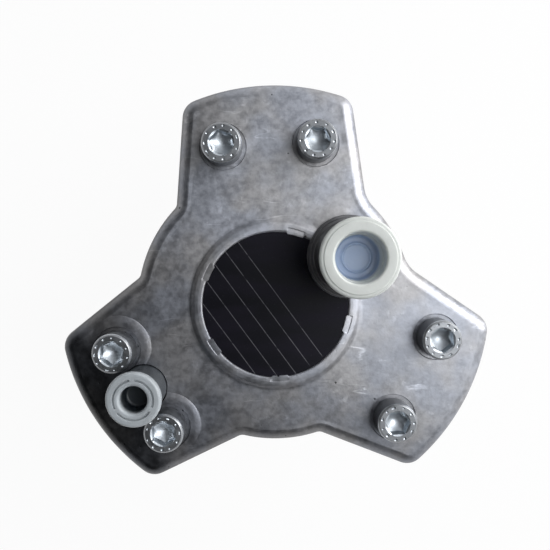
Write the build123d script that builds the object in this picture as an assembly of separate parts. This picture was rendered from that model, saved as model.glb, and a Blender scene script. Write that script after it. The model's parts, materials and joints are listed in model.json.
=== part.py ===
from build123d import *

import math
import os

# Radial piston pump with three pistons at 120 degrees. Lengths are in millimetres, angles in degrees.
# Frame: origin at the centre of the mounting face, +Z along the shaft to the cover, +Y along the top lobe.

# Lobes, each with one piston
lobe_names = ("top", "left", "right")
first_lobe_angle = 90.0
pressure_lobe = "left"

# Castings
casting_wall = 8.0  # outer wall, cover roof and lobe floor
lobe_flare = 6.4  # how far each side of a lobe opens towards the shaft
lobe_corner_radius = 10.0  # outer corners of the lobes
waist_radius = 3.0  # inner corners between lobe and barrel
suction_waist_radius = 15.0  # the softer inner corners either side of the suction port
draft_angle = 1.0  # taper away from the joint between the castings
cover_edge_radius = 6.0  # rounding round the cover face
rear_edge_radius = 3.0  # rounding under the lobes
gasket_thickness = 0.5

# Mounting flange, spigot and mounting holes
flange_step = 3.0  # flange inside the barrel
flange_chamfer = 1.0
spigot_radius = 40.0
spigot_height = 6.0
mounting_hole_radius = 3.4  # tapping size of M8
mounting_hole_depth = 12.0
mounting_hole_floor = 2.0  # metal left above the holes
mounting_hole_edge = 8.4  # hole centre to the flange's edge

# Cover screws, M12 socket head
screw_radius = 6.0
screw_from_tip = 29.9  # screw centre to the outer arc of the lobe
screw_from_side = 18.3  # screw centre to the side of the lobe at its tip
screw_side_wall = 1.15  # between screw hole and cylinder
screw_engagement = 14.3  # thread in the rear casting
screw_head_radius = 9.0
screw_head_height = 12.0
screw_socket_width = 10.0  # across flats
screw_socket_depth = 6.0
screw_head_chamfer = 0.8
screw_end_chamfer = 1.0
screw_hole_clearance = 0.75
screw_thread_gap = 0.05
screw_hole_spare = 4.0  # hole left under the screw's end
screw_boss_blend = 1.0  # bosses run this far into the side walls
spot_face_margin = 1.9  # beyond the screw head
spot_face_depth = 0.8

# Plate in the middle of the cover, its collar and its staked rim
plate_radius = 33.7
plate_thickness = 0.8
plate_gap = 0.15
collar_height = 1.8
collar_width = 2.5  # flat top, from the plate outwards
collar_slope = 3.0  # width of the slope outside it
stake_angles = (72.4, 152.0, 212.4, 271.0, 342.4)  # middles of the staked stretches of the rim
stake_sweep = 14.0  # degrees of each stretch
stake_reach = 1.0  # how far the staked metal lies over the plate
stake_root = 0.5  # how far it runs back into the collar
stake_thickness = 0.25
stake_gap = 0.02

# Suction stub and its plug
suction_angle = 31.1
suction_wall = 2.3  # between the stub's seat and the front bearing
suction_spigot_radius = 12.0
suction_spigot_depth = 8.5
suction_spigot_wall = 3.0
suction_thread_radius = 12.1
suction_thread_depth = 20.0
suction_thread_wall = 4.3
suction_flange_margin = 2.9  # beyond the stub
suction_flange_height = 3.0
suction_step_margin = 1.6
suction_step_height = 2.6
suction_stub_height = 33.0  # above the cover face
suction_cap_margin = 0.4
suction_cap_height = 4.5
suction_cap_hub_depth = 11.0
suction_cap_hub_wall = 1.8
suction_cap_floor = 3.0
suction_cap_recess_taper = 0.7
suction_cap_rounding = 1.4

# Pressure stub, its plug and its seal ring
pressure_from_seat = 1.89  # stub axis beyond the start of the valve chamber
pressure_thread_radius = 7.5
pressure_thread_depth = 18.0
pressure_thread_wall = 2.85
pressure_bore_radius = 3.0
pressure_stub_height = 21.0  # above the cover face
pressure_stub_sink = 1.0  # foot of the stub in the cylinder
pressure_hole_gap = 0.3
pressure_cap_margin = 1.7
pressure_cap_height = 3.6
pressure_cap_hub_depth = 9.0
pressure_cap_hub_wall = 1.65
pressure_cap_floor = 2.1
pressure_cap_hole_taper = 0.3
pressure_cap_rounding = 0.8
pressure_cap_groove_offset = 2.75  # groove beyond the open middle
pressure_cap_groove_width = 0.7
pressure_cap_groove_depth = 1.0
pressure_cap_web_count = 3
pressure_cap_web_width = 2.0
stub_seal_width = 1.8
stub_seal_height = 2.5
stub_seal_depth = 3.0  # top of the seal below the cover face
port_pad_margin = 4.1  # low pads round the two screws beside the pressure stub
port_pad_height = 0.6
port_pad_slope = 45.0

# Both plugs
cap_gap = 0.1  # plugs in their bores, and stub in its seat
plug_lead_width = 0.8
plug_lead_length = 1.5
drill_point = 2.0  # cone below a thread bore
turned_edge = 0.6  # chamfer on the edges of turned pieces

# Shaft
eccentricity = 3.77  # half the piston stroke
eccentric_radius = 17.0
eccentric_rim = 1.0  # metal beyond the circlip groove
shaft_end_radius = 11.0
shaft_end_length = 40.0
seal_seat_step = 1.0  # seal seat inside the bearing seat
seal_seat_length = 10.0  # below the mounting face
rear_shoulder_height = 3.0
front_shoulder_gap = 0.23  # lets the circlip pass over the front shoulder
front_end_gap = 0.5  # shaft end below the top of the front bearing
shaft_chamfer = 1.0
centre_hole_radius = 2.5
centre_hole_tip_radius = 0.5
centre_hole_depth = 8.0
key_width = 6.0
key_height = 6.0
key_length = 25.0
key_from_tip = 9.0
keyway_depth = 3.5
key_gap = 0.02

# Shaft seal
seal_section = 9.5  # shaft to the outside of the seal
seal_width = 7.0
seal_case_thickness = 2.5
seal_web_thickness = 2.0
seal_neck_width = 2.2
seal_lip_thickness = 1.6
seal_lip_top = 1.5  # below the top of the case
seal_lip_edge = 3.2  # above the bottom
seal_lip_entry = 0.8
seal_lip_gap = 0.05
seal_fit_gap = 0.02  # seals in their bores
seal_end_gap = 0.05

# Rolling bearings
ball_gap = 0.04
roller_gap = 0.03
roller_end_gap = 0.1
cage_pocket_gap = 0.15

# Rear ball bearing, 30 x 62 x 16
rear_bearing_bore_radius = 15.0
rear_bearing_outer_radius = 31.0
rear_bearing_width = 16.0
rear_bearing_bottom = 3.0  # above the mounting face
rear_track_wall = 3.24  # ring metal behind the balls
rear_ball_count = 9
rear_cage_share = 0.21  # half the cage's thickness, of a ball's radius
rear_cage_side = 0.84  # cage beyond the balls
rear_hub_wall = 6.0
rear_hub_rim = 3.0  # hub above the circlip
rear_lip_width = 1.5  # lip that the seal stands against

# Circlip over the rear bearing
housing_circlip_thickness = 2.0
housing_circlip_width = 4.6
housing_circlip_bite = 1.2
housing_circlip_opening = 40.0
circlip_gap = 0.1

# Front roller bearing, 20 x 52 x 15
front_bearing_bore_radius = 10.0
front_bearing_outer_radius = 26.0
front_bearing_width = 15.0
front_bearing_clearance = 2.1  # above the eccentric
front_bearing_cover = 6.0  # metal between the bearing and the cover face
front_race_wall = 4.25  # ring metal behind the rollers
front_roller_length = 9.0
front_roller_count = 10
front_rib_share = 0.4  # height of the ribs, of a roller's radius
front_cage_share = 0.32  # half the cage's thickness, of a roller's radius
front_cage_side = 1.5
front_hub_wall = 6.0
front_hub_lip = 1.0  # hub below the bearing

# Roller ring on the eccentric
ring_wall = 3.0
ring_width = 20.0
ring_roller_radius = 2.97
ring_roller_length = 14.0
ring_roller_count = 14
ring_cage_half_thickness = 0.9
ring_cage_side = 2.0
ring_side_gap = 0.4
shaft_circlip_thickness = 1.5
shaft_circlip_height = 2.4
shaft_circlip_bite = 1.0
shaft_circlip_opening = 60.0

# Pistons, measured outwards from the shaft axis
piston_radius = 7.5
piston_length = 31.0
piston_foot_thickness = 3.0
piston_foot_margin = 0.05  # foot beyond its spring
piston_fit = 0.02
piston_contact_gap = 0.3  # foot to the furthest reach of the ring
piston_feed_radius = 1.6
piston_feed_out = 3.5  # feed holes beyond the foot
piston_lip_thickness = 1.5
inlet_disc_radius = 3.6
inlet_disc_thickness = 1.2
inlet_disc_chamfer = 0.3
inlet_disc_lift = 1.0
inlet_disc_gap = 0.1
inlet_disc_side_gap = 0.4
inlet_seat_width = 1.6
inlet_lip_width = 1.0

# Cylinders
cylinder_wall = 6.0
cylinder_end_clearance = 0.5  # piston crown at full travel to the bore's end
cylinder_collar_width = 1.5
cylinder_collar_length = 5.0
cylinder_nose_length = 4.0  # beyond the collar
saddle_gap = 0.05
saddle_length = 5.0
lobe_floor_clearance = 5.0  # below the collars

# Outlet valves
outlet_ball_radius = 4.5
outlet_seat_width = 1.5  # seat bore inside the ball
outlet_seat_length = 1.5
outlet_chamber_gap = 1.0  # round the ball
outlet_chamber_length = 13.39
valve_gap = 0.04

# End plugs
plug_thread_wall = 2.5  # thread outside the valve chamber
plug_thread_length = 4.0
plug_head_width = 17.0  # across flats
plug_head_length = 7.0
plug_head_gap = 0.5  # head to the casting's end wall
plug_thread_gap = 0.05
plug_bevel_height = 1.5
plug_bevel_inset = 0.3

# Springs
piston_spring_length = 14.93
piston_spring_wire = 1.5
piston_spring_turns = 4.0
piston_spring_gap = 0.95  # round the piston
outlet_spring_inset = 1.6  # middle of the wire inside the ball's radius
outlet_spring_wire = 0.8
outlet_spring_turns = 3.0
spring_end_gap = 0.1

# Pressure gallery, a pipe ring under the cylinders
gallery_from_start = 4.0  # pipe circle beyond the cylinders' inner face
gallery_pipe_radius = 4.0
gallery_block_wall = 0.4  # tee blocks, beyond the pipe's radius
gallery_drilling_radius = 1.5
gallery_riser = 2.5  # pipe to cylinder
gallery_socket_depth = 2.0
gallery_gap = 0.1
gallery_side_clearance = 2.0  # to the barrel's inside
gallery_floor_clearance = 1.6

overrun = 1.0  # cuts run this far past the faces they open

# Lobes and waists
lobe_spacing = 360.0 / len(lobe_names)
lobe_angles = {name: first_lobe_angle + lobe_spacing * index for index, name in enumerate(lobe_names)}
waist_angles = [angle - lobe_spacing / 2 for angle in lobe_angles.values()]
suction_waist_angle = waist_angles[0]

# Roller ring, then the chain of pieces out along a lobe
ring_inner_radius = eccentric_radius + 2 * (ring_roller_radius + roller_gap)
ring_outer_radius = ring_inner_radius + ring_wall
ring_roller_pitch = (ring_inner_radius + eccentric_radius) / 2
stroke = 2 * eccentricity
foot_start = ring_outer_radius + eccentricity + piston_contact_gap
foot_end = foot_start + piston_foot_thickness
piston_end = foot_start + piston_length
bore_end = piston_end + stroke + cylinder_end_clearance
chamber_start = bore_end + outlet_seat_length
chamber_end = chamber_start + outlet_chamber_length
cylinder_start = foot_end + piston_spring_length
cylinder_end = chamber_end + plug_thread_length
collar_end = cylinder_end - cylinder_nose_length
collar_start = collar_end - cylinder_collar_length
plug_end = cylinder_end + plug_head_length
end_wall_inside = plug_end + plug_head_gap
lobe_reach = end_wall_inside + casting_wall

# Radii of the cylinders and what they hold
cylinder_radius = piston_radius + cylinder_wall
cylinder_collar_radius = cylinder_radius + cylinder_collar_width
piston_spring_radius = piston_radius + piston_spring_gap + piston_spring_wire / 2
piston_foot_radius = piston_spring_radius + piston_spring_wire / 2 + piston_foot_margin
inlet_chamber_radius = inlet_disc_radius + inlet_disc_side_gap
inlet_seat_radius = inlet_disc_radius - inlet_seat_width
piston_lip_radius = inlet_disc_radius - inlet_lip_width
inlet_room = inlet_disc_thickness + inlet_disc_lift + 2 * inlet_disc_gap
inlet_seat = piston_end - piston_lip_thickness - inlet_room
outlet_seat_radius = outlet_ball_radius - outlet_seat_width
outlet_chamber_radius = outlet_ball_radius + outlet_chamber_gap
outlet_spring_radius = outlet_ball_radius - outlet_spring_inset
plug_thread_radius = outlet_chamber_radius + plug_thread_wall
ball_rise = math.sqrt(outlet_ball_radius**2 - outlet_seat_radius**2)
ball_centre = chamber_start + ball_rise + valve_gap

# Gallery, barrel, flange and outline
gallery_block_radius = gallery_pipe_radius + gallery_block_wall
gallery_radius = cylinder_start + gallery_from_start
inner_saddle_start = gallery_radius + gallery_block_radius + gallery_gap
outer_saddle_start = collar_end
barrel_inside = gallery_radius + gallery_block_radius + gallery_side_clearance
barrel_radius = barrel_inside + casting_wall
flange_radius = barrel_radius - flange_step
mounting_circle_radius = flange_radius - mounting_hole_edge
screw_out = lobe_reach - screw_from_tip
screw_hole_radius = screw_radius + screw_hole_clearance
screw_aside = cylinder_radius + screw_side_wall + screw_hole_radius
spot_face_radius = screw_head_radius + spot_face_margin
port_pad_radius = spot_face_radius + port_pad_margin
lobe_tip_half_width = screw_aside + screw_from_side

# Heights above the mounting face
annulus_floor_height = mounting_hole_depth + mounting_hole_floor
gallery_height = annulus_floor_height + gallery_floor_clearance + gallery_block_radius
cylinder_underside = gallery_height + gallery_pipe_radius + gallery_riser
joint_height = cylinder_underside + cylinder_radius  # joint of the castings, and plane of the piston axes
rear_top = joint_height - gasket_thickness
lobe_floor_inside = joint_height - cylinder_collar_radius - lobe_floor_clearance
lobe_floor_height = lobe_floor_inside - casting_wall
rear_bearing_top = rear_bearing_bottom + rear_bearing_width
rear_hub_top = rear_bearing_top + housing_circlip_thickness + rear_hub_rim
ring_bottom = joint_height - ring_width / 2
ring_top = joint_height + ring_width / 2
eccentric_bottom = ring_bottom - ring_side_gap
circlip_bottom = ring_top + ring_side_gap
eccentric_top = circlip_bottom + shaft_circlip_thickness + eccentric_rim
front_bearing_bottom = eccentric_top + front_bearing_clearance
front_bearing_top = front_bearing_bottom + front_bearing_width
front_hub_bottom = front_bearing_bottom - front_hub_lip
cover_face = front_bearing_top + front_bearing_cover
roof_inside = cover_face - casting_wall
screw_seat = cover_face - spot_face_depth
screw_end = rear_top - screw_engagement
screw_length = screw_seat - screw_end
collar_top = cover_face + collar_height
plate_top = collar_top - stake_thickness
plate_floor = plate_top - plate_thickness
suction_stub_top = cover_face + suction_stub_height
pressure_stub_top = cover_face + pressure_stub_height
pressure_stub_foot = joint_height + cylinder_radius - pressure_stub_sink
stub_seal_top = cover_face - stub_seal_depth
shaft_tip = -seal_seat_length - shaft_end_length
gallery_drilling_height = joint_height - (piston_radius + cylinder_radius) / 2

# Radii about the shaft and the stubs
seal_seat_radius = rear_bearing_bore_radius - seal_seat_step
seal_outer_radius = seal_seat_radius + seal_section
rear_lip_radius = seal_outer_radius - rear_lip_width
rear_shoulder_radius = rear_bearing_bore_radius + rear_shoulder_height
front_shoulder_radius = eccentric_radius - shaft_circlip_bite - eccentricity - front_shoulder_gap
rear_ball_pitch = (rear_bearing_bore_radius + rear_bearing_outer_radius) / 2
rear_ball_radius = rear_ball_pitch - rear_bearing_bore_radius - rear_track_wall
rear_ring_shoulder = rear_ball_radius / 2
rear_cage_half_thickness = rear_ball_radius * rear_cage_share
front_roller_pitch = (front_bearing_bore_radius + front_bearing_outer_radius) / 2
front_roller_radius = front_roller_pitch - front_bearing_bore_radius - front_race_wall
front_rib_height = front_roller_radius * front_rib_share
front_cage_half_thickness = front_roller_radius * front_cage_share
collar_top_radius = plate_radius + collar_width
collar_base_radius = collar_top_radius + collar_slope
suction_out = front_bearing_outer_radius + suction_wall + cap_gap + suction_spigot_radius
suction_bore_radius = suction_spigot_radius - suction_spigot_wall
suction_stub_radius = suction_thread_radius + suction_thread_wall
suction_flange_radius = suction_stub_radius + suction_flange_margin
suction_step_radius = suction_stub_radius + suction_step_margin
suction_hub_radius = suction_thread_radius - cap_gap
pressure_out = chamber_start + pressure_from_seat
pressure_stub_radius = pressure_thread_radius + pressure_thread_wall
pressure_hub_radius = pressure_thread_radius - cap_gap
pressure_cap_hole_radius = pressure_hub_radius - pressure_cap_hub_wall
pressure_cap_groove_radius = pressure_cap_hole_radius + pressure_cap_groove_offset


def tube(outer, inner, bottom, top):
    """A plain ring about the Z axis, or a disc where inner is 0."""
    section = Circle(outer)
    if inner > 0:
        section -= Circle(inner)
    return Pos(0, 0, bottom) * extrude(section, top - bottom)


def turned(outline):
    """A turned piece: an outline of (radius, height) corners spun about the Z axis."""
    corners = [(radius, 0, height) for radius, height in outline]
    return revolve(make_face(Polyline(*corners, close=True)), Axis.Z)


def wedge(reach, spread, bottom, top):
    """A sector about the Z axis, some degrees wide, with its middle along +X."""
    half = math.radians(spread / 2)
    along = reach * math.cos(half)
    across = reach * math.sin(half)
    sector = make_face(Polyline((0, 0), (along, -across), (along, across), close=True))
    return Pos(0, 0, bottom) * extrude(sector, top - bottom)


def ring_of(count, radius, height=0.0):
    """Equally spaced places on a circle about the Z axis."""
    return [Rot(0, 0, index * 360 / count) * Pos(radius, 0, height) for index in range(count)]


def on_lobe(angle, out, aside=0.0, height=0.0):
    """A place given by its distance along a lobe, to the lobe's left, and above the mounting face."""
    return Rot(0, 0, angle) * Pos(out, aside, height)


def along_lobe(angle):
    """Turns a piece made about Z so that its axis runs out along a lobe at the height of the pistons."""
    return Pos(0, 0, joint_height) * Rot(0, 0, angle) * Rot(0, 90, 0)


def screw_places(height):
    """The six cover screws."""
    places = []
    for angle in lobe_angles.values():
        for side in (-1, 1):
            places.append(on_lobe(angle, screw_out, side * screw_aside, height))
    return places


suction_place = on_lobe(suction_angle, suction_out)
pressure_place = on_lobe(lobe_angles[pressure_lobe], pressure_out)


def lobe_half_width(out):
    """Half the width of a lobe at a distance along it."""
    return lobe_tip_half_width + (lobe_reach - out) * math.tan(math.radians(lobe_flare))


def beside_suction(corner):
    """Whether a corner of the outline belongs to the waist that the suction port stands in."""
    place = corner.center()
    turn = math.degrees(math.atan2(place.Y, place.X)) - suction_waist_angle
    return abs(turn) < lobe_spacing / 2


def waist_corners(outline):
    """The sharp inner corners where a lobe leaves the barrel."""
    return [corner for corner in outline.vertices() if corner.center().length < barrel_radius + overrun]


def casting_outline():
    """The three-lobed outline that both castings share."""
    beyond = lobe_reach + lobe_corner_radius
    sides = Polyline(
        (0, -lobe_half_width(0)),
        (beyond, -lobe_half_width(beyond)),
        (beyond, lobe_half_width(beyond)),
        (0, lobe_half_width(0)),
        close=True,
    )
    lobe = make_face(sides) & Circle(lobe_reach)
    outline = Circle(barrel_radius)
    for angle in lobe_angles.values():
        outline += Rot(0, 0, angle) * lobe
    tip_reach = (lobe_reach + barrel_radius) / 2
    tips = [corner for corner in outline.vertices() if corner.center().length > tip_reach]
    outline = fillet(tips, lobe_corner_radius)
    soft = [corner for corner in waist_corners(outline) if beside_suction(corner)]
    outline = fillet(soft, suction_waist_radius)
    sharp = [corner for corner in waist_corners(outline) if not beside_suction(corner)]
    return fillet(sharp, waist_radius)


def cavity_outline():
    """The hollow of a casting: the outline less its wall and the six screw bosses."""
    hollow = offset(outline, -casting_wall, kind=Kind.INTERSECTION)
    wall_inside = lobe_half_width(screw_out) - casting_wall
    boss_radius = wall_inside - screw_aside + screw_boss_blend
    for place in screw_places(0):
        hollow -= place * Circle(boss_radius)
    return hollow


outline = casting_outline()
cavity = cavity_outline()


def saddles(bottom, top):
    """Two cross webs in each lobe that carry its cylinder, within the hollow of the casting."""
    webs = []
    for angle in lobe_angles.values():
        for start in (inner_saddle_start, outer_saddle_start):
            middle = start + saddle_length / 2
            reach = lobe_half_width(middle) - casting_wall / 2
            web = Pos(0, 0, (bottom + top) / 2) * Box(saddle_length, 2 * reach, top - bottom)
            webs.append(Rot(0, 0, angle) * Pos(middle, 0, 0) * web)
    return webs


def cylinder_seats():
    """The round space of the three cylinders and their collars, cut half from each casting."""
    seat = tube(cylinder_radius + saddle_gap, 0, cylinder_start, end_wall_inside)
    seat += tube(cylinder_collar_radius + saddle_gap, 0, collar_start - saddle_gap, collar_end)
    return [along_lobe(angle) * seat for angle in lobe_angles.values()]


def staked_rim():
    """Short stretches of the collar's inner edge that are pressed over the plate."""
    outer = plate_radius + plate_gap + stake_root
    ring = tube(outer, plate_radius - stake_reach, plate_top + stake_gap, collar_top)
    sector = wedge(2 * outer, stake_sweep, plate_top, collar_top)
    return [ring & (Rot(0, 0, angle) * sector) for angle in stake_angles]


def make_front_cover():
    """Die-cast cover: lobed shell with bearing hub, screw bosses, collar, spot faces and port holes."""
    body = Pos(0, 0, joint_height) * extrude(outline, cover_face - joint_height, taper=draft_angle)
    rim = body.faces().sort_by(Axis.Z)[-1].outer_wire().edges()
    body = fillet(rim, cover_edge_radius)
    body -= Pos(0, 0, joint_height) * extrude(cavity, roof_inside - joint_height)
    body += tube(front_bearing_outer_radius + front_hub_wall, 0, front_hub_bottom, roof_inside)
    for web in saddles(joint_height, roof_inside):
        body += web
    collar = turned(
        [
            (0, cover_face),
            (collar_base_radius, cover_face),
            (collar_top_radius, collar_top),
            (0, collar_top),
        ]
    )
    body += collar
    for side in (-1, 1):
        place = on_lobe(lobe_angles[pressure_lobe], screw_out, side * screw_aside, cover_face)
        body += place * extrude(Circle(port_pad_radius), port_pad_height, taper=port_pad_slope)
    body -= tube(plate_radius + plate_gap, 0, plate_floor, collar_top + overrun)
    body -= suction_place * tube(suction_flange_radius + plate_gap, 0, cover_face, collar_top + overrun)
    body -= suction_place * tube(suction_spigot_radius + cap_gap, 0, front_hub_bottom, cover_face)
    body -= tube(front_bearing_outer_radius, 0, front_hub_bottom, front_bearing_top)
    pad_top = cover_face + port_pad_height
    for place in screw_places(0):
        body -= place * tube(screw_hole_radius, 0, joint_height, cover_face)
        body -= place * tube(spot_face_radius, 0, screw_seat, pad_top + overrun)
    for seat in cylinder_seats():
        body -= seat
    hole = tube(pressure_stub_radius + pressure_hole_gap, 0, joint_height, cover_face + overrun)
    groove = tube(pressure_stub_radius + stub_seal_width, 0, stub_seal_top - stub_seal_height, stub_seal_top)
    body -= pressure_place * (hole + groove)
    return body + staked_rim()


def make_rear_housing():
    """Rear casting: lobes, round mounting flange with spigot, bearing hub and threaded holes."""
    lobes = Pos(0, 0, rear_top) * extrude(outline, lobe_floor_height - rear_top, taper=draft_angle)
    under = lobes.faces().sort_by(Axis.Z)[0].outer_wire().edges()
    body = fillet(under, rear_edge_radius)
    flange_top = lobe_floor_height + rear_edge_radius
    flange = [
        (0, 0),
        (flange_radius - flange_chamfer, 0),
        (flange_radius, flange_chamfer),
        (flange_radius, flange_top),
        (0, flange_top),
    ]
    body += turned(flange)
    body += tube(spigot_radius, 0, -spigot_height, 0)
    body -= Pos(0, 0, lobe_floor_inside) * extrude(cavity, rear_top - lobe_floor_inside)
    body -= tube(barrel_inside, 0, annulus_floor_height, lobe_floor_inside)
    body += tube(rear_bearing_outer_radius + rear_hub_wall, 0, 0, rear_hub_top)
    for web in saddles(lobe_floor_inside - overrun, rear_top):
        body += web
    for seat in cylinder_seats():
        body -= seat
    body -= tube(rear_bearing_outer_radius, 0, rear_bearing_bottom, rear_hub_top)
    groove_top = rear_bearing_top + housing_circlip_thickness
    body -= tube(rear_bearing_outer_radius + housing_circlip_bite, 0, rear_bearing_top, groove_top)
    body -= tube(seal_outer_radius, 0, -spigot_height, seal_width - spigot_height)
    body -= tube(rear_lip_radius, 0, -spigot_height, rear_bearing_bottom)
    for place in screw_places(0):
        body -= place * tube(screw_radius + screw_thread_gap, 0, screw_end - screw_hole_spare, rear_top)
    for angle in waist_angles:
        body -= on_lobe(angle, mounting_circle_radius) * tube(mounting_hole_radius, 0, 0, mounting_hole_depth)
    return body


def make_gasket():
    """Flat gasket on the rim and screw bosses."""
    sheet = outline - cavity
    for place in screw_places(0):
        sheet -= place * Circle(screw_hole_radius)
    gasket = Pos(0, 0, rear_top) * extrude(sheet, gasket_thickness)
    for seat in cylinder_seats():
        gasket -= seat
    return gasket


def make_screws():
    """Six socket head screws."""
    head = turned(
        [
            (0, 0),
            (screw_head_radius, 0),
            (screw_head_radius, screw_head_height - screw_head_chamfer),
            (screw_head_radius - screw_head_chamfer, screw_head_height),
            (0, screw_head_height),
        ]
    )
    shank = turned(
        [
            (0, -screw_length),
            (screw_radius - screw_end_chamfer, -screw_length),
            (screw_radius, screw_end_chamfer - screw_length),
            (screw_radius, 0),
            (0, 0),
        ]
    )
    hexagon = RegularPolygon(screw_socket_width / math.sqrt(3), 6)
    socket = Pos(0, 0, screw_head_height - screw_socket_depth) * extrude(hexagon, screw_socket_depth)
    screw = head + shank - socket
    return Compound(children=[place * screw for place in screw_places(screw_seat)])


def make_plate():
    """Round plate, with a bite where the suction stub stands."""
    bite = tube(suction_flange_radius + plate_gap, 0, plate_floor - overrun, plate_top + overrun)
    return tube(plate_radius, 0, plate_floor, plate_top) - suction_place * bite


def make_suction_stub():
    """Turned stub with a stepped foot, a spigot into the cover and a thread bore for the suction pipe."""
    top = suction_stub_top
    step_bottom = cover_face + suction_flange_height
    step_top = step_bottom + suction_step_height
    spigot_bottom = cover_face - suction_spigot_depth
    thread_bottom = top - suction_thread_depth
    stub = turned(
        [
            (suction_bore_radius, spigot_bottom),
            (suction_spigot_radius, spigot_bottom),
            (suction_spigot_radius, cover_face),
            (suction_flange_radius, cover_face),
            (suction_flange_radius, step_bottom - turned_edge),
            (suction_flange_radius - turned_edge, step_bottom),
            (suction_step_radius, step_bottom),
            (suction_step_radius, step_top - turned_edge),
            (suction_step_radius - turned_edge, step_top),
            (suction_stub_radius, step_top),
            (suction_stub_radius, top - turned_edge),
            (suction_stub_radius - turned_edge, top),
            (suction_thread_radius, top),
            (suction_thread_radius, thread_bottom),
            (suction_bore_radius, thread_bottom - drill_point),
        ]
    )
    return suction_place * stub


def rounded_lip(cap, rounding):
    """Rounds the two upper edges of a plug: the outside of its flange and the mouth of its recess."""
    lip = cap.edges().filter_by(GeomType.CIRCLE).sort_by(Axis.Z)[-2:]
    return fillet(lip, rounding)


def make_suction_cap():
    """Plastic plug with a rounded flange and a round recess."""
    top = suction_stub_top + suction_cap_height
    hub_bottom = suction_stub_top - suction_cap_hub_depth
    recess_radius = suction_hub_radius - suction_cap_hub_wall
    recess_floor = hub_bottom + suction_cap_floor
    cap_radius = suction_stub_radius + suction_cap_margin
    cap = turned(
        [
            (0, hub_bottom),
            (suction_hub_radius - plug_lead_width, hub_bottom),
            (suction_hub_radius, hub_bottom + plug_lead_length),
            (suction_hub_radius, suction_stub_top),
            (cap_radius, suction_stub_top),
            (cap_radius, top),
            (recess_radius, top),
            (recess_radius - suction_cap_recess_taper, recess_floor),
            (0, recess_floor),
        ]
    )
    return suction_place * rounded_lip(cap, suction_cap_rounding)


def make_pressure_stub():
    """Turned stub that stands on the left cylinder and comes up through the cover."""
    top = pressure_stub_top
    thread_bottom = top - pressure_thread_depth
    stub = turned(
        [
            (pressure_bore_radius, pressure_stub_foot),
            (pressure_stub_radius - turned_edge, pressure_stub_foot),
            (pressure_stub_radius, pressure_stub_foot + turned_edge),
            (pressure_stub_radius, top - turned_edge),
            (pressure_stub_radius - turned_edge, top),
            (pressure_thread_radius, top),
            (pressure_thread_radius, thread_bottom),
            (pressure_bore_radius, thread_bottom - drill_point),
        ]
    )
    return pressure_place * stub


def make_pressure_cap():
    """Plastic plug with an open middle and a thin ring groove broken by webs."""
    top = pressure_stub_top + pressure_cap_height
    hub_bottom = pressure_stub_top - pressure_cap_hub_depth
    hole_floor = hub_bottom + pressure_cap_floor
    cap_radius = pressure_stub_radius + pressure_cap_margin
    cap = turned(
        [
            (0, hub_bottom),
            (pressure_hub_radius - plug_lead_width, hub_bottom),
            (pressure_hub_radius, hub_bottom + plug_lead_length),
            (pressure_hub_radius, pressure_stub_top),
            (cap_radius, pressure_stub_top),
            (cap_radius, top),
            (pressure_cap_hole_radius, top),
            (pressure_cap_hole_radius - pressure_cap_hole_taper, hole_floor),
            (0, hole_floor),
        ]
    )
    half_width = pressure_cap_groove_width / 2
    outer = pressure_cap_groove_radius + half_width
    inner = pressure_cap_groove_radius - half_width
    groove = tube(outer, inner, top - pressure_cap_groove_depth, top + overrun)
    web = Box(4 * half_width, pressure_cap_web_width, 4 * pressure_cap_groove_depth)
    for place in ring_of(pressure_cap_web_count, pressure_cap_groove_radius, top):
        groove -= Rot(0, 0, first_lobe_angle) * place * web
    return pressure_place * (rounded_lip(cap, pressure_cap_rounding) - groove)


def make_stub_seal():
    """Seal ring round the pressure stub, in its groove in the cover."""
    outer = pressure_stub_radius + stub_seal_width - seal_fit_gap
    inner = pressure_stub_radius + seal_fit_gap
    return pressure_place * tube(outer, inner, stub_seal_top - stub_seal_height, stub_seal_top)


def key_place():
    """Where the key's underside lies, with the key's length along the shaft."""
    middle = shaft_tip + key_from_tip + key_length / 2
    return Pos(0, shaft_end_radius - keyway_depth, middle) * Rot(-90, 0, 0) * Rot(0, 0, 90)


def make_shaft():
    """Drive shaft with its eccentric journal, keyway and centre hole."""
    front_end = front_bearing_top - front_end_gap
    body = turned(
        [
            (0, shaft_tip),
            (shaft_end_radius - shaft_chamfer, shaft_tip),
            (shaft_end_radius, shaft_tip + shaft_chamfer),
            (shaft_end_radius, -seal_seat_length),
            (seal_seat_radius, -seal_seat_length),
            (seal_seat_radius, rear_bearing_bottom),
            (rear_bearing_bore_radius, rear_bearing_bottom),
            (rear_bearing_bore_radius, rear_bearing_top),
            (rear_shoulder_radius, rear_bearing_top),
            (rear_shoulder_radius, eccentric_bottom),
            (front_shoulder_radius, eccentric_bottom),
            (front_shoulder_radius, front_bearing_bottom),
            (front_bearing_bore_radius, front_bearing_bottom),
            (front_bearing_bore_radius, front_end - shaft_chamfer),
            (front_bearing_bore_radius - shaft_chamfer, front_end),
            (0, front_end),
        ]
    )
    journal = tube(eccentric_radius, 0, eccentric_bottom, eccentric_top)
    groove_floor = eccentric_radius - shaft_circlip_bite
    groove_top = circlip_bottom + shaft_circlip_thickness
    journal -= tube(eccentric_radius + overrun, groove_floor, circlip_bottom, groove_top)
    body += Pos(0, eccentricity, 0) * journal
    along_axis = (Align.CENTER, Align.CENTER, Align.MIN)
    hole = Cone(centre_hole_radius, centre_hole_tip_radius, centre_hole_depth, align=along_axis)
    body -= Pos(0, 0, shaft_tip) * hole
    return body - key_place() * extrude(SlotOverall(key_length, key_width), 2 * key_height)


def make_key():
    """Round-ended parallel key."""
    slot = SlotOverall(key_length - 2 * key_gap, key_width - 2 * key_gap)
    return key_place() * extrude(slot, key_height)


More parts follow.
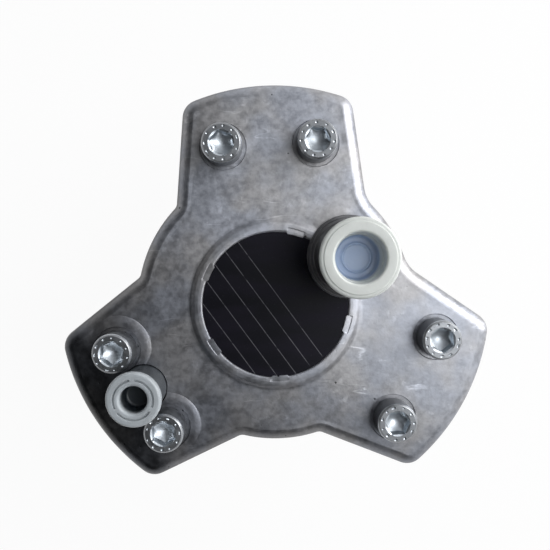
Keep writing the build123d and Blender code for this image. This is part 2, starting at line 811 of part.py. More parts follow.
def make_shaft_seal():
    """Radial shaft seal with its hollow open to the bearing."""
    bottom = -spigot_height
    top = bottom + seal_width - seal_end_gap
    outer = seal_outer_radius - seal_fit_gap
    case_inside = outer - seal_case_thickness
    web_top = bottom + seal_web_thickness
    lip = seal_seat_radius + seal_lip_gap
    return turned(
        [
            (outer, bottom),
            (outer, top),
            (case_inside, top),
            (case_inside, web_top),
            (lip + seal_neck_width, web_top),
            (lip + seal_lip_thickness, top - seal_lip_top),
            (lip, bottom + seal_lip_edge),
            (lip + seal_lip_entry, bottom),
        ]
    )


def make_rear_bearing():
    """Deep-groove ball bearing: outer ring, inner ring, balls and cage."""
    low = rear_bearing_bottom
    high = rear_bearing_top
    middle = (low + high) / 2
    track = Pos(0, 0, middle) * Torus(rear_ball_pitch, rear_ball_radius + ball_gap)
    outer = tube(rear_bearing_outer_radius, rear_ball_pitch + rear_ring_shoulder, low, high) - track
    inner = tube(rear_ball_pitch - rear_ring_shoulder, rear_bearing_bore_radius, low, high) - track
    half_width = rear_ball_radius + rear_cage_side
    cage_outer = rear_ball_pitch + rear_cage_half_thickness
    cage_inner = rear_ball_pitch - rear_cage_half_thickness
    cage = tube(cage_outer, cage_inner, middle - half_width, middle + half_width)
    pocket = Rot(0, 90, 0) * Cylinder(rear_ball_radius + cage_pocket_gap, 4 * rear_cage_half_thickness)
    balls = []
    for place in ring_of(rear_ball_count, rear_ball_pitch, middle):
        balls.append(place * Sphere(rear_ball_radius))
        cage -= place * pocket
    return outer, inner, Compound(children=balls), cage


def roller_cage(pitch, half_thickness, roller_radius, roller_length, side, count, middle):
    """A ring with a window for each roller, and the places of the rollers."""
    half_width = roller_length / 2 + side
    cage = tube(pitch + half_thickness, pitch - half_thickness, middle - half_width, middle + half_width)
    places = ring_of(count, pitch, middle)
    window = Cylinder(roller_radius + cage_pocket_gap, roller_length + 2 * cage_pocket_gap)
    for place in places:
        cage -= place * window
    return cage, places


def make_front_bearing():
    """Cylindrical roller bearing: ribbed outer ring, plain inner ring, rollers and cage."""
    low = front_bearing_bottom
    high = front_bearing_top
    middle = (low + high) / 2
    outer_race = front_roller_pitch + front_roller_radius + roller_gap
    inner_race = front_roller_pitch - front_roller_radius - roller_gap
    half_track = front_roller_length / 2 + roller_end_gap
    outer = tube(front_bearing_outer_radius, outer_race - front_rib_height, low, high)
    outer -= tube(outer_race, 0, middle - half_track, middle + half_track)
    inner = tube(inner_race, front_bearing_bore_radius, low, high)
    cage, places = roller_cage(
        front_roller_pitch,
        front_cage_half_thickness,
        front_roller_radius,
        front_roller_length,
        front_cage_side,
        front_roller_count,
        middle,
    )
    roller = Cylinder(front_roller_radius, front_roller_length)
    return outer, inner, Compound(children=[place * roller for place in places]), cage


def make_ring_set():
    """Roller ring on the eccentric: ring, rollers and cage, about the eccentric's own axis."""
    on_eccentric = Pos(0, eccentricity, 0)
    ring = tube(ring_outer_radius, ring_inner_radius, ring_bottom, ring_top)
    edges = ring.edges().filter_by(GeomType.CIRCLE).sort_by(SortBy.RADIUS)
    ring = chamfer(edges[-2:], turned_edge)
    cage, places = roller_cage(
        ring_roller_pitch,
        ring_cage_half_thickness,
        ring_roller_radius,
        ring_roller_length,
        ring_cage_side,
        ring_roller_count,
        joint_height,
    )
    roller = Cylinder(ring_roller_radius, ring_roller_length)
    rollers = Compound(children=[on_eccentric * place * roller for place in places])
    return on_eccentric * ring, rollers, on_eccentric * cage


def open_ring(outer, inner, bottom, top, opening):
    """A circlip: a flat ring with a gap of some degrees towards +Y."""
    gap = Rot(0, 0, first_lobe_angle) * wedge(2 * outer, opening, bottom - overrun, top + overrun)
    return tube(outer, inner, bottom, top) - gap


def make_bearing_circlip():
    """Inner circlip that holds the rear bearing in its bore."""
    outer = rear_bearing_outer_radius + housing_circlip_bite - circlip_gap
    top = rear_bearing_top + housing_circlip_thickness - circlip_gap
    return open_ring(outer, outer - housing_circlip_width, rear_bearing_top, top, housing_circlip_opening)


def make_eccentric_circlip():
    """Outer circlip that holds the roller ring on the eccentric."""
    inner = eccentric_radius - shaft_circlip_bite + circlip_gap
    bottom = circlip_bottom + circlip_gap / 2
    top = bottom + shaft_circlip_thickness - circlip_gap
    clip = open_ring(eccentric_radius + shaft_circlip_height, inner, bottom, top, shaft_circlip_opening)
    return Pos(0, eccentricity, 0) * clip


def make_piston():
    """Piston with flat foot, feed holes and a valve chamber in its end. Its Z is the way out along the lobe."""
    feed = foot_end + piston_feed_out
    radius = piston_radius - piston_fit
    lip_start = piston_end - piston_lip_thickness
    piston = turned(
        [
            (0, foot_start),
            (piston_foot_radius - turned_edge, foot_start),
            (piston_foot_radius, foot_start + turned_edge),
            (piston_foot_radius, foot_end),
            (radius, foot_end),
            (radius, piston_end - turned_edge),
            (radius - turned_edge, piston_end),
            (piston_lip_radius, piston_end),
            (piston_lip_radius, lip_start),
            (inlet_chamber_radius, lip_start),
            (inlet_chamber_radius, inlet_seat),
            (inlet_seat_radius, inlet_seat),
            (inlet_seat_radius, feed),
            (0, feed),
        ]
    )
    return piston - Pos(0, 0, feed) * Rot(90, 0, 0) * Cylinder(piston_feed_radius, 4 * piston_radius)


def make_inlet_disc():
    """Suction valve disc on its seat in the piston end."""
    low = inlet_seat + inlet_disc_gap
    high = low + inlet_disc_thickness
    return turned(
        [
            (0, low),
            (inlet_disc_radius - inlet_disc_chamfer, low),
            (inlet_disc_radius, low + inlet_disc_chamfer),
            (inlet_disc_radius, high),
            (0, high),
        ]
    )


def make_cylinder(name):
    """Cylinder cartridge in place: bore, outlet seat, valve chamber, plug thread, collar and drillings."""
    barrel = turned(
        [
            (piston_radius, cylinder_start),
            (cylinder_radius - turned_edge, cylinder_start),
            (cylinder_radius, cylinder_start + turned_edge),
            (cylinder_radius, collar_start),
            (cylinder_collar_radius, collar_start),
            (cylinder_collar_radius, collar_end),
            (cylinder_radius, collar_end),
            (cylinder_radius, cylinder_end - turned_edge),
            (cylinder_radius - turned_edge, cylinder_end),
            (plug_thread_radius, cylinder_end),
            (plug_thread_radius, chamber_end),
            (outlet_chamber_radius, chamber_end),
            (outlet_chamber_radius, chamber_start),
            (outlet_seat_radius, chamber_start),
            (outlet_seat_radius, bore_end),
            (piston_radius, bore_end),
        ]
    )
    angle = lobe_angles[name]
    cylinder = along_lobe(angle) * barrel
    chamber_middle = (chamber_start + chamber_end) / 2
    riser = on_lobe(angle, gallery_radius)
    socket_top = cylinder_underside + gallery_socket_depth
    socket = tube(gallery_pipe_radius + gallery_gap, 0, cylinder_underside - overrun, socket_top)
    up = tube(gallery_drilling_radius, 0, cylinder_underside, gallery_drilling_height)
    along = tube(gallery_drilling_radius, 0, 0, chamber_middle - gallery_radius)
    into_chamber = tube(gallery_drilling_radius, 0, gallery_drilling_height, joint_height)
    cylinder -= riser * (socket + up)
    cylinder -= riser * Pos(0, 0, gallery_drilling_height) * Rot(0, 90, 0) * along
    cylinder -= on_lobe(angle, chamber_middle) * into_chamber
    if name == pressure_lobe:
        flat_radius = pressure_stub_radius + pressure_hole_gap
        flat = tube(flat_radius, 0, pressure_stub_foot, pressure_stub_foot + cylinder_radius)
        port = tube(pressure_bore_radius, 0, joint_height, pressure_stub_foot)
        cylinder -= pressure_place * (flat + port)
    return cylinder


def make_outlet_ball():
    """Pressure valve ball on its seat."""
    return Pos(0, 0, ball_centre) * Sphere(outlet_ball_radius)


def coil(start, end, radius, wire, turns):
    """A coil spring of square wire between two heights, with its ends inside them."""
    low = start + wire / 2 + spring_end_gap
    high = end - wire / 2 - spring_end_gap
    path = Helix((high - low) / turns, high - low, radius)
    section = Plane(origin=path @ 0, z_dir=path % 0) * Rectangle(wire, wire)
    return Pos(0, 0, low) * sweep(section, path, is_frenet=True)


def make_piston_spring():
    """Spring between the piston foot and the cylinder's inner face."""
    return coil(foot_end, cylinder_start, piston_spring_radius, piston_spring_wire, piston_spring_turns)


def make_outlet_spring():
    """Spring between the outlet ball and the end plug."""
    ball_top = ball_centre + math.sqrt(outlet_ball_radius**2 - outlet_spring_radius**2)
    start = ball_top + outlet_spring_wire / 2
    return coil(start, chamber_end, outlet_spring_radius, outlet_spring_wire, outlet_spring_turns)


def make_end_plugs():
    """Hexagon head screw plugs in the outer ends of the cylinders."""
    corner_radius = plug_head_width / math.sqrt(3)
    bevel = turned(
        [
            (0, cylinder_end),
            (corner_radius + overrun, cylinder_end),
            (corner_radius + overrun, plug_end - plug_bevel_height),
            (plug_head_width / 2 - plug_bevel_inset, plug_end),
            (0, plug_end),
        ]
    )
    head = Pos(0, 0, cylinder_end) * extrude(RegularPolygon(corner_radius, 6), plug_head_length)
    plug = (head & bevel) + tube(plug_thread_radius - plug_thread_gap, 0, chamber_end, cylinder_end)
    return Compound(children=[along_lobe(angle) * plug for angle in lobe_angles.values()])


def make_gallery():
    """Pipe ring with a tee block under each cylinder and a riser into its underside."""
    section = Plane.XZ * Pos(gallery_radius, gallery_height) * Circle(gallery_pipe_radius)
    arc = revolve(section, Axis.Z, lobe_spacing)
    block_top = cylinder_underside - gallery_gap
    riser_top = cylinder_underside + gallery_socket_depth - gallery_gap
    block = tube(gallery_block_radius, 0, gallery_height - gallery_block_radius, block_top)
    block += tube(gallery_pipe_radius, 0, block_top, riser_top)
    drilling = tube(gallery_drilling_radius, 0, gallery_height, riser_top)
    gallery = Part()
    for angle in lobe_angles.values():
        gallery += Rot(0, 0, angle) * arc
        gallery += on_lobe(angle, gallery_radius) * block
    for angle in lobe_angles.values():
        gallery -= on_lobe(angle, gallery_radius) * drilling
    return gallery


def write(name, shape):
    """Writes one piece to its own file."""
    shape.label = name
    export_step(shape, os.path.join("parts", name + ".step"))


os.makedirs("parts", exist_ok=True)

write("front_cover", make_front_cover())
write("rear_housing", make_rear_housing())
write("housing_gasket", make_gasket())
write("cover_screws", make_screws())
write("nameplate_disc", make_plate())
write("suction_stub", make_suction_stub())
write("suction_cap", make_suction_cap())
write("pressure_stub", make_pressure_stub())
write("pressure_cap", make_pressure_cap())
write("stub_seal", make_stub_seal())
write("drive_shaft", make_shaft())
write("shaft_key", make_key())
write("shaft_seal", make_shaft_seal())
for suffix, piece in zip(("outer", "inner", "balls", "cage"), make_rear_bearing()):
    write("rear_bearing_" + suffix, piece)
for suffix, piece in zip(("outer", "inner", "rollers", "cage"), make_front_bearing()):
    write("front_bearing_" + suffix, piece)
for suffix, piece in zip(("ring", "rollers", "cage"), make_ring_set()):
    write("eccentric_" + suffix, piece)
write("bearing_circlip", make_bearing_circlip())
write("eccentric_circlip", make_eccentric_circlip())
for name in lobe_names:
    place = along_lobe(lobe_angles[name])
    write("piston_" + name, place * make_piston())
    write("inlet_disc_" + name, place * make_inlet_disc())
    write("piston_spring_" + name, place * make_piston_spring())
    write("cylinder_" + name, make_cylinder(name))
    write("outlet_ball_" + name, place * make_outlet_ball())
    write("outlet_spring_" + name, place * make_outlet_spring())
write("end_plugs", make_end_plugs())
write("pressure_gallery", make_gallery())
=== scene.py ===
# %% [markdown]
# # A three-lobed radial piston pump
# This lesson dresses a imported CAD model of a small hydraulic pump. The pump is seen square on from its
# cover side: a grey die-cast cover, a black plate in the middle, six socket head screws, and two stubs that
# are closed by milky plastic plugs. The CAD gives every place and size, so the first step loads it.

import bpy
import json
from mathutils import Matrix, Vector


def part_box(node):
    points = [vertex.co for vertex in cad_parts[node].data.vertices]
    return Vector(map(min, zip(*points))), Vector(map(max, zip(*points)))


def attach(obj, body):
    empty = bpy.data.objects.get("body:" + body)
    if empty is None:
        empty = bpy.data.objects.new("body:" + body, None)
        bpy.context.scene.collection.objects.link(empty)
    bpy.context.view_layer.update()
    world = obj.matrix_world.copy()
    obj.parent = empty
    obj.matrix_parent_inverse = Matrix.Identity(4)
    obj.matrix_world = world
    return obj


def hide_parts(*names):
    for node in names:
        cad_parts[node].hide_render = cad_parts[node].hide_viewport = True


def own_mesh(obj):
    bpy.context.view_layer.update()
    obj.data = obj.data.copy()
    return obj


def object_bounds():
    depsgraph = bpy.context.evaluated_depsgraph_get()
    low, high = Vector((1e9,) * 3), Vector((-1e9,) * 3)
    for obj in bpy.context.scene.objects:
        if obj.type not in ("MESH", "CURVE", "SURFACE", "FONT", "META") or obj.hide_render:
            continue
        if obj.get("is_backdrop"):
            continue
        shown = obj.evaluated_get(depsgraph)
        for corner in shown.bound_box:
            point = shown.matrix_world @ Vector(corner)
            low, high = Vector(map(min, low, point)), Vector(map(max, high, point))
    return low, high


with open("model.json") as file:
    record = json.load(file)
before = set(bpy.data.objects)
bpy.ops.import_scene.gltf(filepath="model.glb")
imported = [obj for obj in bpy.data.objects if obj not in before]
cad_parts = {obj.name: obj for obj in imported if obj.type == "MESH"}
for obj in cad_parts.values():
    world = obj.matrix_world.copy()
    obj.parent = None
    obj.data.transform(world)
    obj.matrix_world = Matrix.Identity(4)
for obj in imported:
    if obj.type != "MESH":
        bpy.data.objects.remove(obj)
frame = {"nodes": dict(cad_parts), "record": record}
cad_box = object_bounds()

# %% Libraries and units
import json
import math
import random

import bmesh
import bpy
from mathutils import Matrix, Vector, noise

MM = 0.001
cad_low, cad_high = Vector(cad_box[0]), Vector(cad_box[1])
print("CAD size in mm:", [round(side / MM, 1) for side in cad_high - cad_low])

# %% [markdown]
# ## Camera
# The photograph was taken from about thirty centimetres above the cover, so the screw heads lean outwards a
# little. A camera could be aimed by eye with a Track To constraint. Here its place and its three axes were
# fitted to the screws and the lobes, and they are put in its matrix directly.

# %% Camera
camera_place = Vector((-3.511, 26.564, 353.273)) * MM
camera_right = Vector((0.9991, -0.0392, 0.0153)).normalized()
camera_up = Vector((0.0398, 0.9982, -0.0458)).normalized()
camera_back = camera_right.cross(camera_up)
sensor_width = 36
lens_length = 39.13
nearest_seen = 10 * MM

camera = bpy.data.objects.new("camera", bpy.data.cameras.new("camera"))
bpy.context.scene.collection.objects.link(camera)
axes = Matrix((camera_right, camera_up, camera_back)).transposed().to_4x4()
camera.matrix_world = Matrix.Translation(camera_place) @ axes
camera.data.sensor_width = sensor_width
camera.data.lens = lens_length
camera.data.clip_start = nearest_seen
bpy.context.scene.camera = camera
print("camera lens:", lens_length, "mm, height:", round(camera_place.z / MM), "mm")

# %% [markdown]
# ## Shader maths
# A finish on a real casting is many small changes on top of each other: clouds, stains, pits, scratches. In
# Blender each is a number that varies over the surface. Wiring Math nodes by hand is slow to read, so a small
# class wraps a socket, and plain Python sums on it add the nodes.

# %% A socket that can be reckoned with
class Amount:
    """A number that varies over a surface; a sum with it adds a Math node."""

    def __init__(self, nodes, socket):
        self.nodes = nodes
        self.socket = socket

    def sum(self, operation, first, second):
        return self.nodes.node("ShaderNodeMath", {"operation": operation}, {0: first, 1: second})

    def __add__(self, other):
        return self.sum("ADD", self, other)

    def __sub__(self, other):
        return self.sum("SUBTRACT", self, other)

    def __rsub__(self, other):
        return self.sum("SUBTRACT", other, self)

    def __mul__(self, other):
        return self.sum("MULTIPLY", self, other)

    def __abs__(self):
        return self.sum("ABSOLUTE", self, 0)

    __radd__ = __add__
    __rmul__ = __mul__

    def rise(self, low, high):
        """0 below low, 1 above high, and a smooth step between them."""
        sockets = {"Value": self, "From Min": low, "From Max": high}
        return self.nodes.node("ShaderNodeMapRange", {"interpolation_type": "SMOOTHSTEP"}, sockets)


# %% [markdown]
# The second class holds a node tree. Its `node` method is the only place where nodes are made: it sets the
# node's own settings first, because they can change which sockets there are, and then its sockets.

# %% A tree of nodes
class Nodes:
    """A node tree, emptied so that it can be filled."""

    def __init__(self, tree):
        self.tree = tree
        self.tree.nodes.clear()

    def node(self, kind, settings, sockets, result=0):
        """Adds a node and gives one of its results; an output node has none."""
        made = self.tree.nodes.new(kind)
        for name, value in settings.items():
            setattr(made, name, value)
        for name, value in sockets.items():
            if isinstance(value, Amount):
                self.tree.links.new(value.socket, made.inputs[name])
            else:
                made.inputs[name].default_value = value
        return Amount(self, made.outputs[result]) if made.outputs else None


# %% [markdown]
# A finish is such a tree with a material of its own. It measures places in millimetres from the pump's
# centre, so a stain of 9 or a scratch of 0.8 is as large as it would be on the bench. The patterns that
# several finishes share, such as noise or the distance from an axis, are its methods.

# %% A finish
class Finish(Nodes):
    """One procedural material, measured in millimetres on the pump."""

    def __init__(self, name):
        self.material = bpy.data.materials.new(name)
        self.material.use_nodes = True
        super().__init__(self.material.node_tree)
        place = self.node("ShaderNodeTexCoord", {}, {}, "Object")
        self.place = self.node("ShaderNodeVectorMath", {"operation": "SCALE"}, {0: place, "Scale": 1 / MM})

    def speckle(self, size, detail, stretch=(1, 1, 1), shift=0.0):
        """Cloudy noise whose blots are about size mm across."""
        sockets = {"Vector": self.place, "Location": (shift, shift, shift), "Scale": stretch}
        place = self.node("ShaderNodeMapping", {}, sockets)
        return self.node("ShaderNodeTexNoise", {}, {"Vector": place, "Scale": 1 / size, "Detail": detail})

    def along(self, direction):
        """The distance in mm from the pump's centre, measured along a direction."""
        sockets = {0: self.place, 1: direction}
        return self.node("ShaderNodeVectorMath", {"operation": "DOT_PRODUCT"}, sockets, "Value")

    def from_axis(self, x, y):
        """The distance in mm from an upright axis."""
        sockets = {0: self.place, 1: (1, 1, 0), 2: (-x, -y, 0)}
        flat = self.node("ShaderNodeVectorMath", {"operation": "MULTIPLY_ADD"}, sockets)
        return self.node("ShaderNodeVectorMath", {"operation": "LENGTH"}, {0: flat}, "Value")

    def tint(self, mask, first, second, blend="MIX"):
        """first where mask is 0, second where it is 1."""
        settings = {"data_type": "RGBA", "blend_type": blend}
        return self.node("ShaderNodeMix", settings, {0: mask, 6: first, 7: second}, 2)

    def shade(self, colour, brightness):
        """The colour times a brightness that varies."""
        return self.tint(1.0, colour, brightness, "MULTIPLY")

    def relief(self, height, depth, under=None):
        """A bump of depth mm where height goes from 0 to 1."""
        sockets = {"Strength": 1.0, "Distance": depth * MM, "Height": height}
        if under is not None:
            sockets["Normal"] = under
        return self.node("ShaderNodeBump", {}, sockets)

    def done(self, **sockets):
        """The Principled shader and the material's output."""
        named = {name.replace("_", " "): value for name, value in sockets.items()}
        shader = self.node("ShaderNodeBsdfPrincipled", {}, named)
        self.node("ShaderNodeOutputMaterial", {"target": "ALL"}, {"Surface": shader})
        return self.material


def colour(red, green, blue, strength=1.0):
    """A colour for a socket, made darker by a strength under 1."""
    return (red * strength, green * strength, blue * strength, 1.0)


# %% [markdown]
# ## Studio
# The photograph has a white ground, and light that comes from the upper right: the right edges of the casting
# shine and the lower left falls into the dark. A wide sweep of pale paper is the floor. It could be a large
# plane, but a plane ends at a horizon, and a sweep that bends upwards has none.

# %% Floor sweep
floor_gap = 0.5
floor_height = cad_low.z / MM - floor_gap
sweep_reach = 1200
sweep_bend = 500
sweep_sides = 96
bend_steps = 12


def round_points(radius, height, steps, centre=(0, 0)):
    """A circle of points (x, y, height) in mm round an upright axis."""
    turn = math.tau / steps
    angles = [k * turn for k in range(steps)]
    return [(centre[0] + radius * math.cos(a), centre[1] + radius * math.sin(a), height) for a in angles]


sweep_profile = [(1, 0), (sweep_reach, 0)]
for step in range(1, bend_steps + 1):
    turn = math.radians(90 * step / bend_steps)
    sweep_profile.append((sweep_reach + sweep_bend * math.sin(turn), sweep_bend * (1 - math.cos(turn))))

sweep_mesh = bmesh.new()
sweep_rings = []
for radius, rise in sweep_profile:
    ring = round_points(radius, floor_height + rise, sweep_sides)
    sweep_rings.append([sweep_mesh.verts.new(Vector(point) * MM) for point in ring])
for inner, outer in zip(sweep_rings, sweep_rings[1:]):
    for k in range(sweep_sides):
        sweep_mesh.faces.new((inner[k - 1], outer[k - 1], outer[k], inner[k]))
sweep_mesh.faces.new(sweep_rings[0])
sweep = bpy.data.objects.new("studio_sweep", bpy.data.meshes.new("studio_sweep"))
sweep_mesh.to_mesh(sweep.data)
sweep_mesh.free()
for face in sweep.data.polygons:
    face.use_smooth = True
bpy.context.scene.collection.objects.link(sweep)
sweep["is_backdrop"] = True
print("floor at", round(floor_height, 1), "mm")

# %% [markdown]
# The paper's own colour is pale, and where the camera, a mirror or a lens looks at it, it is lifted to white.
# A lamp that is strong enough to do this would wash the pump out. A glow that is mixed in for those rays
# alone lights nothing else.

# %% Pale paper
paper_tone = 0.86
lift = 0.94

paper = Finish("pale_paper")
looks = ("Is Camera Ray", "Is Glossy Ray", "Is Transmission Ray")
looked_at = sum(paper.node("ShaderNodeLightPath", {}, {}, look) for look in looks)
fibres = paper.speckle(4, 4).rise(0.2, 0.8)
pale = paper.shade(colour(1, 1, 1, paper_tone), 0.97 + fibres * 0.03)
matt = paper.node("ShaderNodeBsdfDiffuse", {}, {"Color": pale})
glow = paper.node("ShaderNodeEmission", {}, {"Color": colour(1, 1, 1), "Strength": 1.0})
lifted = paper.node("ShaderNodeMixShader", {}, {0: looked_at * lift, 1: matt, 2: glow})
paper.node("ShaderNodeOutputMaterial", {}, {"Surface": lifted})
sweep.data.materials.append(paper.material)
print("paper:", sweep.data.materials[0].name)

# %% [markdown]
# ## Light
# One large soft box hangs at the upper right, where the light of the photograph comes from, and a weaker one
# fills from above. The world is a soft shade that is brighter on the same side. Lamps are kept weak enough
# that a colour comes out about as it is written.

# %% World shade
lit_side = (0.80, 0.40, 0.0)
darkest, brightest = 0.03, 1.18
brightens_from, brightens_to = -0.25, 0.85

world = bpy.data.worlds.new("studio_shade")
bpy.context.scene.world = world
world.use_nodes = True
air = Nodes(world.node_tree)
heading = air.node("ShaderNodeTexCoord", {}, {}, "Generated")
towards = air.node("ShaderNodeVectorMath", {"operation": "DOT_PRODUCT"}, {0: heading, 1: lit_side}, "Value")
strength = darkest + towards.rise(brightens_from, brightens_to) * (brightest - darkest)
shade = air.node("ShaderNodeBackground", {}, {"Color": colour(0.93, 0.96, 1.0), "Strength": strength})
air.node("ShaderNodeOutputWorld", {}, {"Surface": shade})
print("world:", world.name, "from", darkest, "to", brightest)

# %% Soft boxes
def soft_box(name, place, aim, width, height, watts, tone):
    """A lamp with a wide face; its places and sizes are in metres."""
    lamp = bpy.data.lights.new(name, "AREA")
    lamp.shape = "RECTANGLE"
    lamp.size, lamp.size_y = width, height
    lamp.energy = watts
    lamp.color = tone
    holder = bpy.data.objects.new(name, lamp)
    bpy.context.scene.collection.objects.link(holder)
    holder.location = place
    holder.rotation_euler = (Vector(aim) - Vector(place)).to_track_quat("-Z", "Y").to_euler()


sunny, cloudy = (1.0, 0.99, 0.98), (0.96, 0.98, 1.0)
soft_box("key_box", (0.88, 0.36, 0.44), (0.02, 0.02, 0.06), width=0.75, height=0.7, watts=9.5, tone=sunny)
soft_box("top_box", (0.36, -0.02, 0.85), (0, 0, 0.05), width=0.34, height=0.4, watts=1.9, tone=cloudy)
bpy.context.scene.view_settings.view_transform = "Standard"
print("lamps:", [lamp.name for lamp in bpy.data.lights])

# %% [markdown]
# ## Places on the pump
# Three lobes stand at a third of a turn from each other, one for each cylinder. Most things on the pump are
# easiest to place by their distance and direction from its axis, so two helpers turn these into x and y.

# %% Lobes and the axes of the stubs
lobe_angles = {"top": 90, "left": 210, "right": 330}
suction_out, suction_direction = 40.4, 31.1
pressure_out = 72.5


def polar(out, degrees):
    """The place (x, y) at a distance out and a direction from the pump's axis."""
    return (out * math.cos(math.radians(degrees)), out * math.sin(math.radians(degrees)))


def on_lobe(lobe, out, aside):
    """The place (x, y) out along a lobe's middle line and aside from it."""
    along_x, along_y = polar(1, lobe)
    return (out * along_x - aside * along_y, out * along_y + aside * along_x)


suction_axis = polar(suction_out, suction_direction)
pressure_axis = polar(pressure_out, lobe_angles["left"])
print("suction stub at", [round(part, 1) for part in suction_axis], "mm")
print("pressure stub at", [round(part, 1) for part in pressure_axis], "mm")

# %% [markdown]
# ## Bare die-cast aluminium
# A pressure die casting leaves the die with a matt, slightly cloudy skin. Years of handling add dark stains,
# pale scuffs, thin scratches and small black pores. One noise can't give all of these, so each gets its own
# layer with its own size in millimetres, and the layers are added up to one brightness.
#
# The cover also has darker and lighter places: the outer end of the left lobe is darker and a little
# glossier, painted shade darkens the lower left and the upper left, grime and a painted shade that is
# stronger on the left lie along the edge, a rubbed ring brightens the surround of the plate, and dirt and a
# painted shadow on the left lie at the foot of its collar. They could be painted by hand on an unwrapped
# picture. Here each is a distance along a direction or from the axis, with soft limits, and those that reach
# the walls fade out on the way down.

# %% Films and painted shade on the cover
def cover_films_and_shade(metal, level, roughness):
    """Lays a darker left end, painted shade, grime and dirt over the brightness and roughness of bare metal.
    """
    height = metal.along((0, 0, 1))
    centre = metal.from_axis(0, 0)
    upper = height.rise(48, 70)

    # Darkening that lies in one direction from the axis, most of it painted shade away from the light
    # The outer end of the left lobe: darker and a little glossier, with a ragged boundary
    ragged = metal.speckle(7, 3, shift=5) * 3 - 1.5
    left_end_dark = (metal.along((*polar(1, lobe_angles["left"]), 0)) + ragged).rise(82.5, 86.5) * upper
    # Painted shade: darker towards the lower left, the side away from the light
    lower_left_shade = metal.along((-0.5, -0.87, 0)).rise(-15, 75) * upper
    # Painted shade: darker towards the upper left, away from the light
    upper_left_shade = metal.along((-0.94, 0.34, 0)).rise(36, 62) * upper

    # Films and painted shade that follow the collar and the edge
    rubbed = centre.rise(33, 35) * (1 - centre.rise(37.6, 38.6))
    # Grime along the top of the wall, with painted shade there that is much stronger on the left
    left = metal.along((-1, 0, 0)).rise(-40, 30)
    edge_grime_and_shade = (1 - height.rise(70.5, 74.2)) * height.rise(57, 69) * (0.15 + left * 0.58)
    # Dirt at the foot of the collar, with a painted shadow there that is stronger on the left
    collar_foot = centre.rise(37.5, 38.3) * (1 - centre.rise(39.5, 40.4))
    foot_dirt_and_shadow = collar_foot * (0.06 + metal.along((-1, 0.1, 0)).rise(18, 40) * 0.36)

    level = (level + rubbed * 0.16) * (1 - lower_left_shade * 0.52) * (1 - upper_left_shade * 0.28)
    level = level * (1 - left_end_dark * 0.53) * (1 - edge_grime_and_shade) * (1 - foot_dirt_and_shadow)
    return level, roughness - left_end_dark * 0.12


# %% Cast aluminium
cast_brightness = 0.50


def cast_finish(name, has_films_and_shade):
    """A matt die-cast skin, with or without the films and painted shade of the cover."""
    metal = Finish(name)
    clouds = metal.speckle(34, 3).rise(0.3, 0.7)
    blotches = metal.speckle(9, 5, shift=31).rise(0.32, 0.68)
    flecks = metal.speckle(2.6, 5, shift=61).rise(0.30, 0.70)
    grain = metal.speckle(1.1, 3, shift=7)
    scuff_lines = abs(metal.speckle(26, 4, stretch=(0.35, 1.6, 1), shift=53) - 0.5)
    scuffs = (1 - scuff_lines.rise(0.0, 0.012)) * metal.speckle(13, 2, shift=71).rise(0.52, 0.66)
    worn = metal.speckle(5, 6, shift=91).rise(0.60, 0.72)
    cells = metal.node("ShaderNodeTexVoronoi", {}, {"Vector": metal.place, "Scale": 0.11})
    pores = 1 - cells.rise(0.045, 0.065)

    level = 0.52 + clouds * 0.08 + blotches * 0.11 + flecks * 0.24 + grain * 0.18
    level = level + scuffs * 0.34 + worn * 0.18 - pores * 0.62
    roughness = 0.40 + blotches * 0.10 + flecks * 0.08 - scuffs * 0.12
    if has_films_and_shade:
        level, roughness = cover_films_and_shade(metal, level, roughness)

    cool = colour(0.93, 0.965, 1.07, cast_brightness)
    warm = colour(1.0, 0.985, 1.0, cast_brightness)
    bare = metal.tint(metal.speckle(22, 2, shift=17).rise(0.35, 0.65), cool, warm)
    fine = metal.relief(grain, 0.035)
    uneven = metal.relief(blotches + worn * 0.3 - pores * 1.5 + scuffs * 0.3, 0.05, fine)
    shown = metal.shade(bare, level)
    return metal.done(Base_Color=shown, Metallic=0.9, Roughness=roughness, Normal=uneven)


cover_metal = cast_finish("cast_cover", True)
housing_metal = cast_finish("cast_housing", False)
print("cast finishes:", cover_metal.name, housing_metal.name)

# %% [markdown]
# ## Turned and ground steel
# A lathe leaves fine rings round the part's own axis, on its end faces and on its sides. So the pattern is a
# wave of the distance from that axis plus the height. A ground part has short scratches instead, which
# stretched noise gives.

# %% Turned metal
lathe_pitch = 0.35


def turned_finish(name, tone, x, y, rough):
    """Metal turned round an upright axis, with rings a pitch apart."""
    metal = Finish(name)
    travel = metal.from_axis(x, y) + metal.along((0, 0, 1))
    rings = metal.node("ShaderNodeMath", {"operation": "SINE"}, {0: travel * (math.tau / lathe_pitch)})
    handling = metal.speckle(6, 4).rise(0.35, 0.7)
    film = metal.speckle(17, 2, shift=11).rise(0.3, 0.7)
    shown = metal.shade(colour(*tone), 0.78 + rings * 0.05 + handling * 0.16 + film * 0.12)
    roughness = rough + handling * 0.12 + film * 0.08
    lathe_marks = metal.relief(rings, 0.012)
    return metal.done(Base_Color=shown, Metallic=1.0, Roughness=roughness, Normal=lathe_marks)


# %% Ground metal
even = (1, 1, 1)


def ground_finish(name, tone, rough=0.2, stretch=(0.2, 0.2, 3), spots=0.1):
    """Steel with fine scratches and dark spots; an even stretch gives a plated skin."""
    metal = Finish(name)
    scratches = metal.speckle(0.8, 3, stretch=stretch)
    film = metal.speckle(8, 4, shift=23).rise(0.35, 0.7)
    stain = metal.speckle(2.2, 3, shift=37).rise(0.62, 0.7)
    shown = metal.shade(colour(*tone), 0.8 + scratches * 0.16 + film * 0.14 - stain * spots)
    roughness = rough + film * 0.12 + scratches * 0.06
    grooves = metal.relief(scratches, 0.01)
    return metal.done(Base_Color=shown, Metallic=1.0, Roughness=roughness, Normal=grooves)
